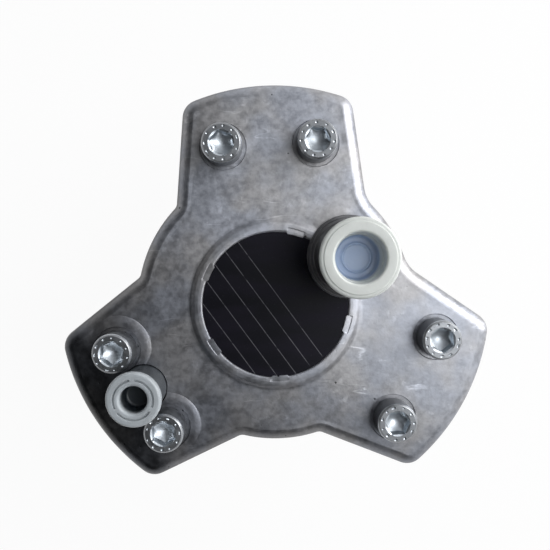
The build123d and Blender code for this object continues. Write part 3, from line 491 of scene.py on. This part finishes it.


# %% [markdown]
# ## Plastic, rubber, fibre and black paint
# These aren't metals, so their own colour carries most of the look. Milky polyethylene lets some light in,
# which subsurface scattering shows. Inside a plug's recess the colour goes over to a darker tone towards the
# floor: painted shade, bluish at the floor of the clear plug and near black down the grey plug's bore.

# %% Milky plastic
def milky_finish(name, axis, rim_tone, floor_shade, recess_radius, shade_heights):
    """A moulded plug; inside its recess painted shade comes in between two heights."""
    plastic = Finish(name)
    cloud = plastic.speckle(7, 3).rise(0.3, 0.7)
    inside = 1 - plastic.from_axis(*axis).rise(recess_radius, recess_radius + 0.4)
    # Painted shade: below the given heights, and only inside the recess, the colour goes over to the floor
    # tone
    depth = (1 - plastic.along((0, 0, 1)).rise(*shade_heights)) * inside
    recess_shaded = plastic.tint(depth, colour(*rim_tone), colour(*floor_shade))
    mould_marks = plastic.relief(plastic.speckle(1.6, 2, shift=3), 0.03)
    return plastic.done(
        Base_Color=plastic.shade(recess_shaded, 0.92 + cloud * 0.08),
        Roughness=0.28 + cloud * 0.12,
        Subsurface_Weight=0.4,
        Subsurface_Scale=0.002,
        Subsurface_Radius=(1.0, 1.0, 1.0),
        Normal=mould_marks,
    )


# The second tone of each pair is the painted shade at the bottom of the recess
clear_tones = ((0.66, 0.68, 0.65), (0.36, 0.45, 0.62))
grey_tones = ((0.42, 0.45, 0.47), (0.02, 0.026, 0.032))
clear_recess = {"recess_radius": 9.9, "shade_heights": (101.8, 105.5)}
grey_recess = {"recess_radius": 6.05, "shade_heights": (95.5, 100.0)}
clear_plastic = milky_finish("clear_plastic", suction_axis, *clear_tones, **clear_recess)
grey_plastic = milky_finish("grey_plastic", pressure_axis, *grey_tones, **grey_recess)
print("plastics:", clear_plastic.name, grey_plastic.name)

# %% Rubber and gasket sheet
def soft_finish(name, tone, rough, fibre):
    """A dull sheet or moulding with fibres or grain of a size in mm, and dust."""
    sheet = Finish(name)
    fibres = sheet.speckle(fibre, 4, stretch=(0.3, 1, 1))
    dust = sheet.speckle(5, 3, shift=13).rise(0.45, 0.7)
    shown = sheet.shade(colour(*tone), 0.75 + fibres * 0.35 + dust * 0.3)
    return sheet.done(Base_Color=shown, Roughness=rough + dust * 0.1, Normal=sheet.relief(fibres, 0.03))


# %% [markdown]
# The plate carries five thin pale lines and nothing else. A printed line has no thickness worth modelling,
# so it is painted by the distance from each line, which stays crisp at any size.

# %% Black plate with ruled lines
across_lines = (0.828, 0.561, 0)
along_lines = (0.561, -0.828, 0)
line_offsets = (3.2, -4.1, -11.5, -19.2, -26.8)
line_half_width = 0.10
line_fade = 0.12


def plate_finish(name):
    """Black paint with thin ruled lines that end short of one side."""
    paint = Finish(name)
    across = paint.along(across_lines)
    lines = 0.0
    for offset in line_offsets:
        lines = lines + (1 - abs(across - offset).rise(line_half_width, line_half_width + line_fade))
    ruled = lines * (1 - paint.along(along_lines).rise(31, 33)) * paint.speckle(3, 3).rise(0.2, 0.5)
    dust = paint.speckle(0.7, 3, shift=19).rise(0.62, 0.74)
    wiped = paint.speckle(12, 3, stretch=(0.4, 1.5, 1), shift=41).rise(0.35, 0.7)
    black = paint.tint(wiped, colour(0.004, 0.004, 0.007), colour(0.007, 0.006, 0.012))
    shown = paint.tint(ruled * 0.26 + dust * 0.03, black, colour(0.42, 0.42, 0.45))
    relief = paint.relief(wiped, 0.01)
    return paint.done(Base_Color=shown, Roughness=0.42 + wiped * 0.1, Specular_IOR_Level=0.15, Normal=relief)


# %% [markdown]
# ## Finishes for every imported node
# Most of the pump is inside and only shows when the housing is opened, but each inner part still gets the
# finish of the real one: ground and polished bearing steel, drawn spring wire, a brass cage.

# %% One finish for each kind of part
finishes = {
    "cast_aluminium": housing_metal,
    # The suction stub's dark tone is painted shade under its plug and a painted reflection of the black plate
    "turned_aluminium": turned_finish("shaded_turned_stub", (0.20, 0.20, 0.205), *suction_axis, rough=0.36),
    "turned_steel": turned_finish("turned_steel", (0.22, 0.24, 0.26), *pressure_axis, rough=0.4),
    "ground_steel": ground_finish("ground_steel", (0.55, 0.55, 0.56)),
    "bearing_steel": ground_finish("bearing_steel", (0.66, 0.66, 0.67), rough=0.1, spots=0.04),
    "spring_steel": ground_finish("spring_steel", (0.20, 0.195, 0.19), rough=0.32, spots=0.2),
    "zinc_screws": ground_finish("zinc_screws", (0.46, 0.49, 0.51), rough=0.26, stretch=even, spots=0.3),
    "cage_brass": turned_finish("cage_brass", (0.62, 0.44, 0.19), 0, 0, rough=0.28),
    "black_plate": plate_finish("black_plate"),
    "clear_plastic": clear_plastic,
    "grey_plastic": grey_plastic,
    "gasket_sheet": soft_finish("gasket_sheet", (0.16, 0.13, 0.10), rough=0.8, fibre=0.9),
    "seal_rubber": soft_finish("seal_rubber", (0.02, 0.02, 0.021), rough=0.55, fibre=0.5),
}
slots = {part["node"]: part["material_slot"] for part in frame["record"]["subparts"]}

for name, node in frame["nodes"].items():
    for place in node.material_slots:
        place.material = finishes[slots[name]]
print("finishes put on", len(slots), "nodes")

# %% [markdown]
# ## Making meshes from rings
# Nearly every visible piece is turned or cast, so it can be built as rings of points joined by faces. One
# helper joins the rings and closes the two ends. Corners in a profile are eased first, because a real edge is
# never razor sharp and its small round is what catches the light.

# %% Rings to mesh
crease_angle = 32


def crisp(made_object, sharp=crease_angle):
    """Smooth shading that still breaks at edges sharper than an angle."""
    build = bmesh.new()
    build.from_mesh(made_object.data)
    for face in build.faces:
        face.smooth = True
    for edge in build.edges:
        if len(edge.link_faces) == 2:
            edge.smooth = edge.calc_face_angle(0) < math.radians(sharp)
    build.to_mesh(made_object.data)
    build.free()


def skin(name, rings, tube=False, sharp=crease_angle):
    """Joins rings of points in mm; a tube joins the last ring to the first."""
    build = bmesh.new()
    made = [[build.verts.new(Vector(point) * MM) for point in ring] for ring in rings]
    pairs = list(zip(made, made[1:]))
    if tube:
        pairs.append((made[-1], made[0]))
    for low, high in pairs:
        for k in range(len(low)):
            build.faces.new((low[k - 1], low[k], high[k], high[k - 1]))
    if not tube:
        for ring in (made[0], made[-1]):
            middle = build.verts.new(sum((v.co for v in ring), Vector()) / len(ring))
            for k in range(len(ring)):
                build.faces.new((ring[k - 1], ring[k], middle))
    bmesh.ops.recalc_face_normals(build, faces=build.faces)
    mesh = bpy.data.meshes.new(name)
    build.to_mesh(mesh)
    build.free()
    made_object = bpy.data.objects.new(name, mesh)
    bpy.context.scene.collection.objects.link(made_object)
    crisp(made_object, sharp)
    return made_object


print("edges sharper than", crease_angle, "degrees stay crisp")

# %% Eased profiles and turned pieces
def eased(corners, radius, steps=4):
    """Rounds every inner corner of a profile of (radius, height) pairs in mm."""
    most_of_side = 0.45
    points = [Vector(corners[0])]
    for before, corner, after in zip(corners, corners[1:], corners[2:]):
        before, corner, after = Vector(before), Vector(corner), Vector(after)
        shorter = min((before - corner).length * most_of_side, (after - corner).length * most_of_side)
        reach = min(radius, shorter)
        start = corner + (before - corner).normalized() * reach
        end = corner + (after - corner).normalized() * reach
        for k in range(steps + 1):
            t = k / steps
            points.append(start * (1 - t) ** 2 + corner * 2 * t * (1 - t) + end * t ** 2)
    points.append(Vector(corners[-1]))
    return points


def turned(name, profile, centre=(0, 0), sides=160, tube=False):
    """A profile of (radius, height) pairs spun round an upright axis."""
    return skin(name, [round_points(radius, height, sides, centre) for radius, height in profile], tube)


# %% [markdown]
# A drill leaves a hole, and a Boolean modifier does the same to a mesh. The Manifold solver is quick and
# reliable on closed meshes, and the skins made above are closed. The modifiers are applied at once and the
# tools are removed, so that only finished pieces are left.

# %% Cutting and joining
def carve(target, tools, operation="DIFFERENCE"):
    """Cuts or joins each tool in turn, and leaves only the result."""
    for tool in tools:
        step = target.modifiers.new("step", "BOOLEAN")
        step.operation = operation
        step.solver = "MANIFOLD"
        step.object = tool
    bpy.context.view_layer.update()
    depsgraph = bpy.context.evaluated_depsgraph_get()
    result = bpy.data.meshes.new_from_object(target.evaluated_get(depsgraph))
    result.materials.clear()
    target.modifiers.clear()
    before = target.data
    target.data = result
    bpy.data.meshes.remove(before)
    for tool in tools:
        bpy.data.objects.remove(tool)
    crisp(target)


# %% [markdown]
# A new piece stands for a node of the CAD, and it has to move with the same body. The two plugs move on
# their own; all the other new pieces ride the housing.

# %% Fitting a piece to the CAD
rides_on = {"suction_cap": "suction_plug", "pressure_cap": "pressure_plug"}


def fit(piece, slot, *nodes, finish=None):
    """Gives a piece its finish and its body, and hides the CAD nodes that it stands for."""
    piece.data.materials.append(finish or finishes[slot])
    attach(piece, rides_on.get(nodes[0], "housing"))
    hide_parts(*nodes)
    print(piece.name, "faces:", len(piece.data.polygons))
    return piece


# %% [markdown]
# ## The cover's outline
# The cover has three lobes on a round barrel. Each lobe has a round tip, two rounded corners and flanks that
# widen inwards; a small hollow joins flank and barrel. One half lobe is worked out from circles that touch
# lines, and mirrored and turned six times. An inset moves the whole outline inwards, which gives the draft of
# the walls and the round of the edge from the same sums.

# %% Sizes of the outline
lobe_reach = 103.45
tip_half_width = 39.7
flank_slope = math.tan(math.radians(6.4))
tip_corner = 10.0
barrel_radius = 66.4
waist_hollow = {30: 15.0, 150: 3.0, 270: 3.0}
half_pitch = 60
barrel_steps, hollow_steps, flank_steps, corner_steps, tip_steps = 16, 12, 44, 14, 44
print("lobe reach:", lobe_reach, "mm, barrel radius:", barrel_radius, "mm")


# %% Outline of half a lobe
def arc(centre, radius, start, end, steps):
    """Points on an arc by its shorter way round, without the last one."""
    turn = (end - start + math.pi) % math.tau - math.pi
    angles = [start + turn * k / steps for k in range(steps)]
    return [centre + Vector((math.cos(a), math.sin(a))) * radius for a in angles]


def half_lobe(inset, hollow):
    """Points (out, aside) from the middle of a waist to the middle of the tip."""
    lean = math.hypot(1, flank_slope)
    normal, outward = Vector((flank_slope, 1)) / lean, Vector((1, -flank_slope)) / lean
    away = (tip_half_width + lobe_reach * flank_slope) / lean - inset
    reach, barrel = lobe_reach - inset, barrel_radius - inset
    corner, hollow = tip_corner - inset, hollow + inset
    tip = normal * (away - corner) + outward * math.sqrt((reach - corner) ** 2 - (away - corner) ** 2)
    waist = normal * (away + hollow) + outward * math.sqrt((barrel + hollow) ** 2 - (away + hollow) ** 2)
    foot, top = waist - normal * hollow, tip + normal * corner
    centre = Vector((0, 0))
    leaning = math.atan2(normal.y, normal.x)
    tip_turn = math.atan2(tip.y, tip.x)
    waist_turn = math.atan2(waist.y, waist.x)
    points = arc(centre, barrel, math.radians(half_pitch), waist_turn, barrel_steps)
    points += arc(waist, hollow, waist_turn + math.pi, leaning + math.pi, hollow_steps)
    points += [foot.lerp(top, k / flank_steps) for k in range(flank_steps)]
    points += arc(tip, corner, leaning, tip_turn, corner_steps)
    points += arc(centre, reach, tip_turn, 0.0, tip_steps)
    return points + [Vector((reach, 0))]


# %% The whole outline
def outline(inset):
    """The whole outline, anticlockwise, as (x, y)."""
    points = []
    for lobe in lobe_angles.values():
        rising = half_lobe(inset, waist_hollow[(lobe - half_pitch) % 360])
        falling = half_lobe(inset, waist_hollow[(lobe + half_pitch) % 360])
        local = [Vector((p.x, -p.y)) for p in rising[:-1]] + list(reversed(falling[1:]))
        out = Vector(polar(1, lobe))
        side = Vector((-out.y, out.x))
        points += [out * p.x + side * p.y for p in local]
    return points


def outline_ring(inset, height):
    return [(p.x, p.y, height) for p in outline(inset)]


print("outline points:", len(outline(0)))

# %% [markdown]
# ## The die-cast cover
# The cover is a shell: walls that lean inwards by a little over two degrees, a generously rounded edge, a top
# that isn't quite flat, and a soft collar round the plate. Its rings run from the joint up over the edge, in
# to the collar, over the rim and down to the plate's seat. Noise of a tenth of a millimetre in the top gives
# the slow wander of light that real castings show, which a bump map alone doesn't give at the edges.

# %% Walls and edge of the cover
joint_height = 40.0
joint_bevel = 0.25
cover_face = 76.0
edge_round = 7.5
edge_turn = math.radians(77)
draft = math.tan(math.radians(2.4))
wall_height = cover_face - edge_round - joint_height
wall_lean = wall_height * draft
wall_steps, edge_steps = 8, 12


def wall_rings():
    """The wall, and the edge's round, which stops short of level and leaves a faint crease."""
    rings = [outline_ring(joint_bevel, joint_height)]
    rings.append(outline_ring(joint_bevel * draft, joint_height + joint_bevel))
    for k in range(1, wall_steps + 1):
        rise = wall_height * k / wall_steps
        rings.append(outline_ring(rise * draft, joint_height + rise))
    for k in range(1, edge_steps + 1):
        turn = edge_turn * k / edge_steps
        inset = wall_lean + edge_round * (1 - math.cos(turn))
        rings.append(outline_ring(inset, cover_face - edge_round * (math.sin(edge_turn) - math.sin(turn))))
    return rings


print("the walls lean in by", round(wall_lean, 2), "mm")

# %% [markdown]
# The collar is the soft step round the plate. Inside it stands a thin rim, and the rim is pressed over the
# plate in five stretches to hold it. So each ring of the rim has two shapes, upright and pressed, and every
# point takes the one that its angle asks for.

# %% Collar and rim
collar_foot = 47.0
collar_inside = 36
collar_profile = [
    (41.2, 0.03),
    (40.2, 0.08),
    (39.6, 0.26),
    (38.9, 0.78),
    (38.2, 1.3),
    (37.8, 1.52),
    (37.4, 1.64),
    (36.3, 1.74),
]
upright_rim = [(36.1, 77.78), (35.9, 77.8), (35.0, 77.8), (34.6, 77.8), (34.2, 77.72), (34.0, 77.56)]
pressed_rim = [(36.1, 77.74), (35.8, 77.5), (34.9, 77.66), (34.0, 77.85), (33.2, 77.86), (33.05, 77.62)]
plate_seat = 76.75
seat_profile = [(33.95, 77.5), (33.9, plate_seat), (20, plate_seat), (4, plate_seat)]
pressed_angles = (72.4, 152, 212.4, 271, 342.4)
pressed_sweep = 14.0
pressed_fade = 0.7


def pressed(angle):
    """1 along a pressed stretch of the rim, next to 0 elsewhere."""
    gaps = [abs((math.degrees(angle) - middle + 180) % 360 - 180) for middle in pressed_angles]
    past = (min(gaps) - pressed_sweep / 2) / pressed_fade
    return min(max(-past, 0.02), 1.0)


print("pressed stretches:", len(pressed_angles), "of", pressed_sweep, "degrees")

# %% The top of the cover
top_rows = 64
wander_rows = 8
slow_wander, slow_width = 0.16, 27
quick_wander, quick_width = 0.05, 8
wander_drop = 0.08


def wander(x, y):
    """The casting's unevenness in mm at a place on its top."""
    place = Vector((x, y, 0))
    slow = slow_wander * noise.noise(place / slow_width)
    return slow + quick_wander * noise.noise(place / quick_width) - wander_drop


def ring_at(angles, radius, height):
    return [(radius * math.cos(a), radius * math.sin(a), height) for a in angles]


def top_rings():
    """The top from the edge inwards, the collar, the rim and the plate's seat."""
    edge = outline(wall_lean + edge_round * (1 - math.cos(edge_turn)))
    angles = [math.atan2(p.y, p.x) for p in edge]
    rings = []
    for k in range(1, top_rows + 1):
        share = k / top_rows
        ring = []
        for point, angle in zip(edge, angles):
            radius = point.length + (collar_foot - point.length) * share
            x, y = radius * math.cos(angle), radius * math.sin(angle)
            ring.append((x, y, cover_face + wander(x, y) * min(1, k / wander_rows)))
        rings.append(ring)
    for radius, rise in collar_profile:
        fade = (radius - collar_inside) / (collar_foot - collar_inside)
        flat = ring_at(angles, radius, cover_face + rise)
        rings.append([(x, y, z + wander(x, y) * fade) for x, y, z in flat])
    for (radius, height), (pressed_radius, pressed_height) in zip(upright_rim, pressed_rim):
        ring = []
        for angle in angles:
            push = pressed(angle)
            r = radius + (pressed_radius - radius) * push
            ring.append((r * math.cos(angle), r * math.sin(angle), height + (pressed_height - height) * push))
        rings.append(ring)
    return rings + [ring_at(angles, radius, height) for radius, height in seat_profile]


cover = skin("cover_casting", wall_rings() + top_rings())
print("cover faces before carving:", len(cover.data.polygons))

# %% [markdown]
# Everything that a drill or a core makes is cut out of that solid: the cavity for the cylinders, the bore of
# the front bearing, the six spot faces and screw holes, and the holes for the two stubs. Two low pads stand
# round the screws beside the pressure stub, and are joined on first so that the spot faces cut them too. They
# lean a little, so only a part of each pad's edge stands out of the casting.

# %% Pads
screw_out = 73.6
screw_aside = 21.4
screw_places = {}
for lobe_name, lobe in lobe_angles.items():
    screw_places[lobe_name] = [on_lobe(lobe, screw_out, side * screw_aside) for side in (1, -1)]
all_screws = [place for pair in screw_places.values() for place in pair]

pad_top = 76.05
pad_profile = eased([(16.8, 72), (16.6, 75.2), (14.0, pad_top), (1, pad_top)], radius=1.3, steps=6)
pad_lean, pad_hinge = 0.045, Vector((0.77, -0.64, 0))
pad_turn = Matrix.Rotation(pad_lean, 4, pad_hinge)
pads = []
for place in screw_places["left"]:
    pad = turned("pad", pad_profile, place, sides=120)
    middle = Vector((*place, cover_face)) * MM
    pad.data.transform(Matrix.Translation(middle) @ pad_turn @ Matrix.Translation(-middle))
    pads.append(pad)
carve(cover, pads, "UNION")
print("cover faces with pads:", len(cover.data.polygons))

# %% Cavity and bosses
cavity_insets = ((8, 38), (8.4, 64), (9, 67), (9.9, 68))
boss_profile = [(11.6, 30), (11.6, 75)]
pipe_boss_profile = [(13.4, 60), (13.4, 75)]

cavity = skin("cavity", [outline_ring(inset, height) for inset, height in cavity_insets])
bosses = [turned("boss", boss_profile, place, sides=64) for place in all_screws]
bosses.append(turned("pipe_boss", pipe_boss_profile, pressure_axis, sides=64))
carve(cavity, bosses)
print("cavity faces:", len(cavity.data.polygons))

# %% Holes and spot faces
bearing_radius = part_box("front_bearing_outer")[1].x / MM
bearing_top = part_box("front_bearing_outer")[1].z / MM
bore_profile = [(bearing_radius, 50), (bearing_radius, bearing_top), (20, bearing_top + 1.5)]
spot_floor = 75.2
spot_corners = [(6.7, 30), (6.7, spot_floor), (10.7, spot_floor), (10.95, 76.1), (11.3, 79)]
spot_profile = eased(spot_corners, radius=0.25)
pipe_hole_profile = [(10.65, 45), (10.65, 75.6), (10.95, 76.2), (11.2, 79)]
suction_hole_profile = [(9, 50), (9, 74)]

holes = [cavity, turned("bore", bore_profile)]
holes += [turned("spot_face", spot_profile, place, sides=96) for place in all_screws]
holes.append(turned("pipe_hole", pipe_hole_profile, pressure_axis, sides=128))
holes.append(turned("suction_hole", suction_hole_profile, suction_axis, sides=96))
carve(cover, holes)
fit(cover, "cast_aluminium", "front_cover", finish=cover_metal)

# %% [markdown]
# ## Socket head screws
# Six M12 screws clamp the cover. From above you see the ring of the head with a circle of small punch marks,
# and a deep hexagon socket whose bottom is a shallow cone. The marks are real dents here: the top of the head
# is a fine grid, and each grid point near a mark is lowered. The rings change from circles to hexagons where
# the socket begins.

# %% Rings of a screw
head_radius = 9.0
head_top = 87.2
socket_across = 10.0
screw_sides = 192


def circle(radius, height, turn, centre):
    """A circle of points whose first one is turned by an angle."""
    ring = []
    for k in range(screw_sides):
        angle = math.tau * k / screw_sides + turn
        ring.append((centre[0] + radius * math.cos(angle), centre[1] + radius * math.sin(angle), height))
    return ring


def hexagon(height, turn, centre):
    """Points of the socket's hexagon, at the same angles as the circles."""
    ring = []
    for k in range(screw_sides):
        angle = math.tau * k / screw_sides
        inside = (angle + math.pi / 6) % (math.pi / 3) - math.pi / 6
        radius = socket_across / 2 / math.cos(inside)
        x, y = radius * math.cos(angle + turn), radius * math.sin(angle + turn)
        ring.append((centre[0] + x, centre[1] + y, height))
    return ring


print("head:", 2 * head_radius, "mm, socket:", socket_across, "mm")

# %% [markdown]
# A punch is struck by hand, so the marks stray a little from their circle, differ in size, and some were
# struck twice. The numbers are random, but each screw has its own seed and always comes out the same.

# %% Punch marks
mark_count = 11
mark_circle = 7.35
mark_depth = 0.36
struck_twice = 0.45
second_strike_turn = 0.09


def punch_marks(turn, seed):
    """The marks of one head as (x, y, radius), measured from its middle."""
    chance = random.Random(seed)
    marks = []
    for k in range(mark_count):
        angle = turn + math.tau * (k + chance.uniform(-0.12, 0.12)) / mark_count
        radius = mark_circle + chance.uniform(-0.15, 0.15)
        marks.append((radius * math.cos(angle), radius * math.sin(angle), chance.uniform(0.42, 0.62)))
        if chance.random() < struck_twice:
            angle = angle + chance.choice((-1, 1)) * second_strike_turn
            marks.append((radius * math.cos(angle), radius * math.sin(angle), chance.uniform(0.3, 0.45)))
    return marks


def punched(ring, centre, marks):
    """Lowers the points of a ring that lie near a punch mark."""
    lowered = []
    for x, y, z in ring:
        near = min(math.hypot(x - centre[0] - mx, y - centre[1] - my) / size for mx, my, size in marks)
        lowered.append((x, y, z - mark_depth * max(0.0, 1 - near * near)))
    return lowered


print("marks on the first head:", len(punch_marks(0, 0)))

# %% [markdown]
# A screw is its side, the rounded edge of the head, the punched flat, and the socket. The socket and the
# dents get a second, brighter finish, since the plating shines there; one thin row of the edge gets it as a
# painted highlight.

# %% A screw
shank_profile = [(4.6, 25.2), (5.9, 26.4), (5.9, 74.4), (6.1, spot_floor)]
head_profile = [(head_radius, spot_floor), (head_radius, head_top - 1.4)]
side_profile = eased(shank_profile + head_profile, radius=0.6, steps=5)
head_edge = ((8.97, 1.0), (8.8, 0.62), (8.25, 0.12), (8.1, 0.0))
flat_outside, flat_width, flat_rows = 8.1, 2.2, 13
socket_mouth = (5.84, 0.1)
socket_walls = (0.4, 5.6)
socket_cone = ((4.75, 5.9), (3.6, 6.4), (1.2, 7.3))
screw_crease = 28
least_dent = 0.08


def screw(name, centre, turn, seed):
    marks = punch_marks(turn, seed)
    rings = [circle(radius, height, turn, centre) for radius, height in side_profile]
    highlight_row = len(rings)
    rings += [circle(radius, head_top - drop, turn, centre) for radius, drop in head_edge]
    first_flat_row = len(rings) - 1
    for k in range(1, flat_rows + 1):
        radius = flat_outside - flat_width * k / flat_rows
        rings.append(punched(circle(radius, head_top, turn, centre), centre, marks))
    first_socket_row = len(rings) - 1
    radius, drop = socket_mouth
    rings.append(circle(radius, head_top - drop, turn, centre))
    rings += [hexagon(head_top - drop, turn, centre) for drop in socket_walls]
    rings += [circle(radius, head_top - drop, turn, centre) for radius, drop in socket_cone]
    made = skin(name, rings, sharp=screw_crease)
    for face in made.data.polygons:
        row = face.index // screw_sides
        dented = first_flat_row <= row < first_socket_row and face.center.z < (head_top - least_dent) * MM
        # Index 1 is the brighter finish: on the socket and the dents, and on one row of the edge as a painted
        # highlight
        face.material_index = int(row >= first_socket_row or row == highlight_row or dented)
    return made


# %% [markdown]
# All six screws are one node of the CAD, so they are gathered in one mesh. Each socket is turned by its own
# angle, as screws end up when they are tightened.

# %% All six screws in one piece
socket_turns = (12, 24, 0, 52, 5, 33)
gathered = bmesh.new()
for k, place in enumerate(all_screws):
    each = screw("screw", place, math.radians(socket_turns[k]), k)
    gathered.from_mesh(each.data)
    bpy.data.objects.remove(each)
screw_set = bpy.data.objects.new("cover_screw_set", bpy.data.meshes.new("cover_screw_set"))
gathered.to_mesh(screw_set.data)
gathered.free()
bpy.context.scene.collection.objects.link(screw_set)

zinc_heads = ground_finish("zinc_heads", (0.30, 0.31, 0.325), rough=0.36, stretch=even, spots=0.35)
# The brighter finish also paints the highlight on one row of each head's edge
zinc_sockets_and_highlight = ground_finish("zinc_sockets_and_highlight", (0.62, 0.66, 0.70), rough=0.3, stretch=even, spots=0.2)
fit(screw_set, "zinc_screws", "cover_screws", finish=zinc_heads)
screw_set.data.materials.append(zinc_sockets_and_highlight)

# %% [markdown]
# ## Stubs
# Both stubs are turned parts: a lathe profile with eased corners, spun round its own axis. The suction stub
# has two thin steps at its foot, which show as dark rings where it stands over the plate.

# %% Suction stub
stub_foot = [(9, 69), (12, 69), (19.3, 76), (19.3, 79), (18, 79.1), (18, 81.6), (16.4, 81.9)]
stub_mouth = [(16.4, 109), (12.6, 109), (12.1, 108.4), (12.1, 89), (9, 87)]
suction_profile = eased(stub_foot + stub_mouth, radius=0.5)
suction_stub = turned("suction_stub_turned", suction_profile, suction_axis, sides=192, tube=True)
fit(suction_stub, "turned_aluminium", "suction_stub")

# %% Pressure stub
pipe_outside = [(3, 53), (9.7, 53), (10.35, 53.8), (10.35, 96.3), (9.7, 97)]
pipe_bore = [(8.1, 97), (7.5, 96.4), (7.5, 79), (3, 76.4)]
pressure_profile = eased(pipe_outside + pipe_bore, radius=0.4)
pressure_stub = turned("pressure_stub_turned", pressure_profile, pressure_axis, sides=160, tube=True)
fit(pressure_stub, "turned_steel", "pressure_stub")

# %% [markdown]
# ## Plugs
# The two plugs are soft moulded caps. Their edges are very round, and the larger one has a deep recess with a
# step in its wall and a faint ring on its floor. The smaller has a ring groove with three bridges, so it is
# turned first and the groove is cut in three stretches.

# %% Suction plug
cap_shank = [(1, 98), (10.6, 98), (11.3, 99), (11.6, 108.6), (12, 109.05)]
cap_flange = [(16.3, 109.05), (16.8, 109.9), (16.75, 112.5), (16.1, 113.15), (15.1, 113.2)]
cap_bead = [(14.8, 113.48), (11.2, 113.48), (10.6, 112.9)]
cap_recess = [(10.2, 108.6), (9.85, 108.3), (9.4, 102.2), (8.7, 101.1)]
cap_floor = [(6.7, 101.1), (6.1, 101.7), (5.4, 101.1), (1, 101.1)]
cap_corners = cap_shank + cap_flange + cap_bead + cap_recess + cap_floor
cap_profile = eased(cap_corners, radius=0.55, steps=6)
suction_cap = turned("suction_plug_moulded", cap_profile, suction_axis, sides=192)
fit(suction_cap, "clear_plastic", "suction_cap")

# %% Pressure plug
plug_shank = [(1, 88), (6.6, 88), (7.2, 88.8), (7.3, 96.6), (7.8, 97.05)]
plug_flange = [(11.6, 97.05), (12.05, 97.8), (12.0, 99.6), (11.3, 100.6)]
plug_recess = [(6.9, 100.6), (6.2, 100.2), (5.95, 99.4), (5.6, 90.8), (4.6, 90), (1, 90)]
plug_profile = eased(plug_shank + plug_flange + plug_recess, radius=0.6, steps=5)
pressure_cap = turned("pressure_plug_moulded", plug_profile, pressure_axis, sides=160)

groove_section = ((8.1, 99.6), (8.8, 99.6), (9.3, 101.5), (8.05, 101.5))
groove_steps = 48
bridge_half_width = 7
grooves = []
for bridge in lobe_angles.values():
    start, end = math.radians(bridge + bridge_half_width), math.radians(bridge + 120 - bridge_half_width)
    rings = []
    for k in range(groove_steps + 1):
        angle = start + (end - start) * k / groove_steps
        x, y = math.cos(angle), math.sin(angle)
        rings.append([(pressure_axis[0] + r * x, pressure_axis[1] + r * y, z) for r, z in groove_section])
    grooves.append(skin("groove", rings))
carve(pressure_cap, grooves)
fit(pressure_cap, "grey_plastic", "pressure_cap")

# %% [markdown]
# ## Springs
# Six coil springs are inside the cylinders: one pushes each piston towards the shaft, one holds each valve
# ball on its seat. A curve with a bevel would draw them too, but rings of points along a helix give a mesh at
# once, with the first and last stretch laid flat as on a real spring.

# %% Windings of a spring
coil_steps = 36
wire_sides = 12
flat_turns = 0.4


def coil_rings(lobe, start, end, radius, wire, turns):
    """Rings of wire from start to end, measured out along a lobe at the height of the joint."""
    out, side, up = Vector((*on_lobe(lobe, 1, 0), 0)), Vector((*on_lobe(lobe, 0, 1), 0)), Vector((0, 0, 1))
    around = [math.tau * j / wire_sides for j in range(wire_sides)]
    rings = []
    for k in range(coil_steps * turns + 1):
        done = k / coil_steps
        share = min(max((done - flat_turns) / (turns - 2 * flat_turns), 0), 1)
        spoke = side * math.cos(math.tau * done) + up * math.sin(math.tau * done)
        reach = start + wire / 2 + share * (end - start - wire)
        middle = up * joint_height + out * reach + spoke * radius
        rings.append([middle + (spoke * math.cos(a) + out * math.sin(a)) * wire / 2 for a in around])
    return rings


def fit_springs(kind, travel, start, end, **winding):
    """One spring in each lobe; travel, the travel of its joint, is not used."""
    for side_name, lobe in lobe_angles.items():
        node = kind + "_" + side_name
        coil = skin(node + "_coil", coil_rings(lobe, start, end, **winding))
        spring = fit(coil, "spring_steel", node)
        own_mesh(spring)


piston_winding = {"start": 33.17, "end": 47.9, "radius": 9.2, "wire": 1.5, "turns": 4}
outlet_winding = {"start": 77.95, "end": 83.9, "radius": 2.9, "wire": 0.8, "turns": 3}
fit_springs("piston_spring", travel=7.54, **piston_winding)
fit_springs("outlet_spring", travel=1.2, **outlet_winding)

# %% [markdown]
# ## Last look
# The boxes of the CAD and of the dressed model are gathered side by side, and the dressed model's size is
# printed. The dressed model must stay inside the CAD's box.

# %% Sizes
visual_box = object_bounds()
sizes = {"cad": [list(corner) for corner in cad_box], "visual": [list(corner) for corner in visual_box]}
print("visual size in mm:", [round((high - low) / MM, 1) for low, high in zip(*sizes["visual"])])
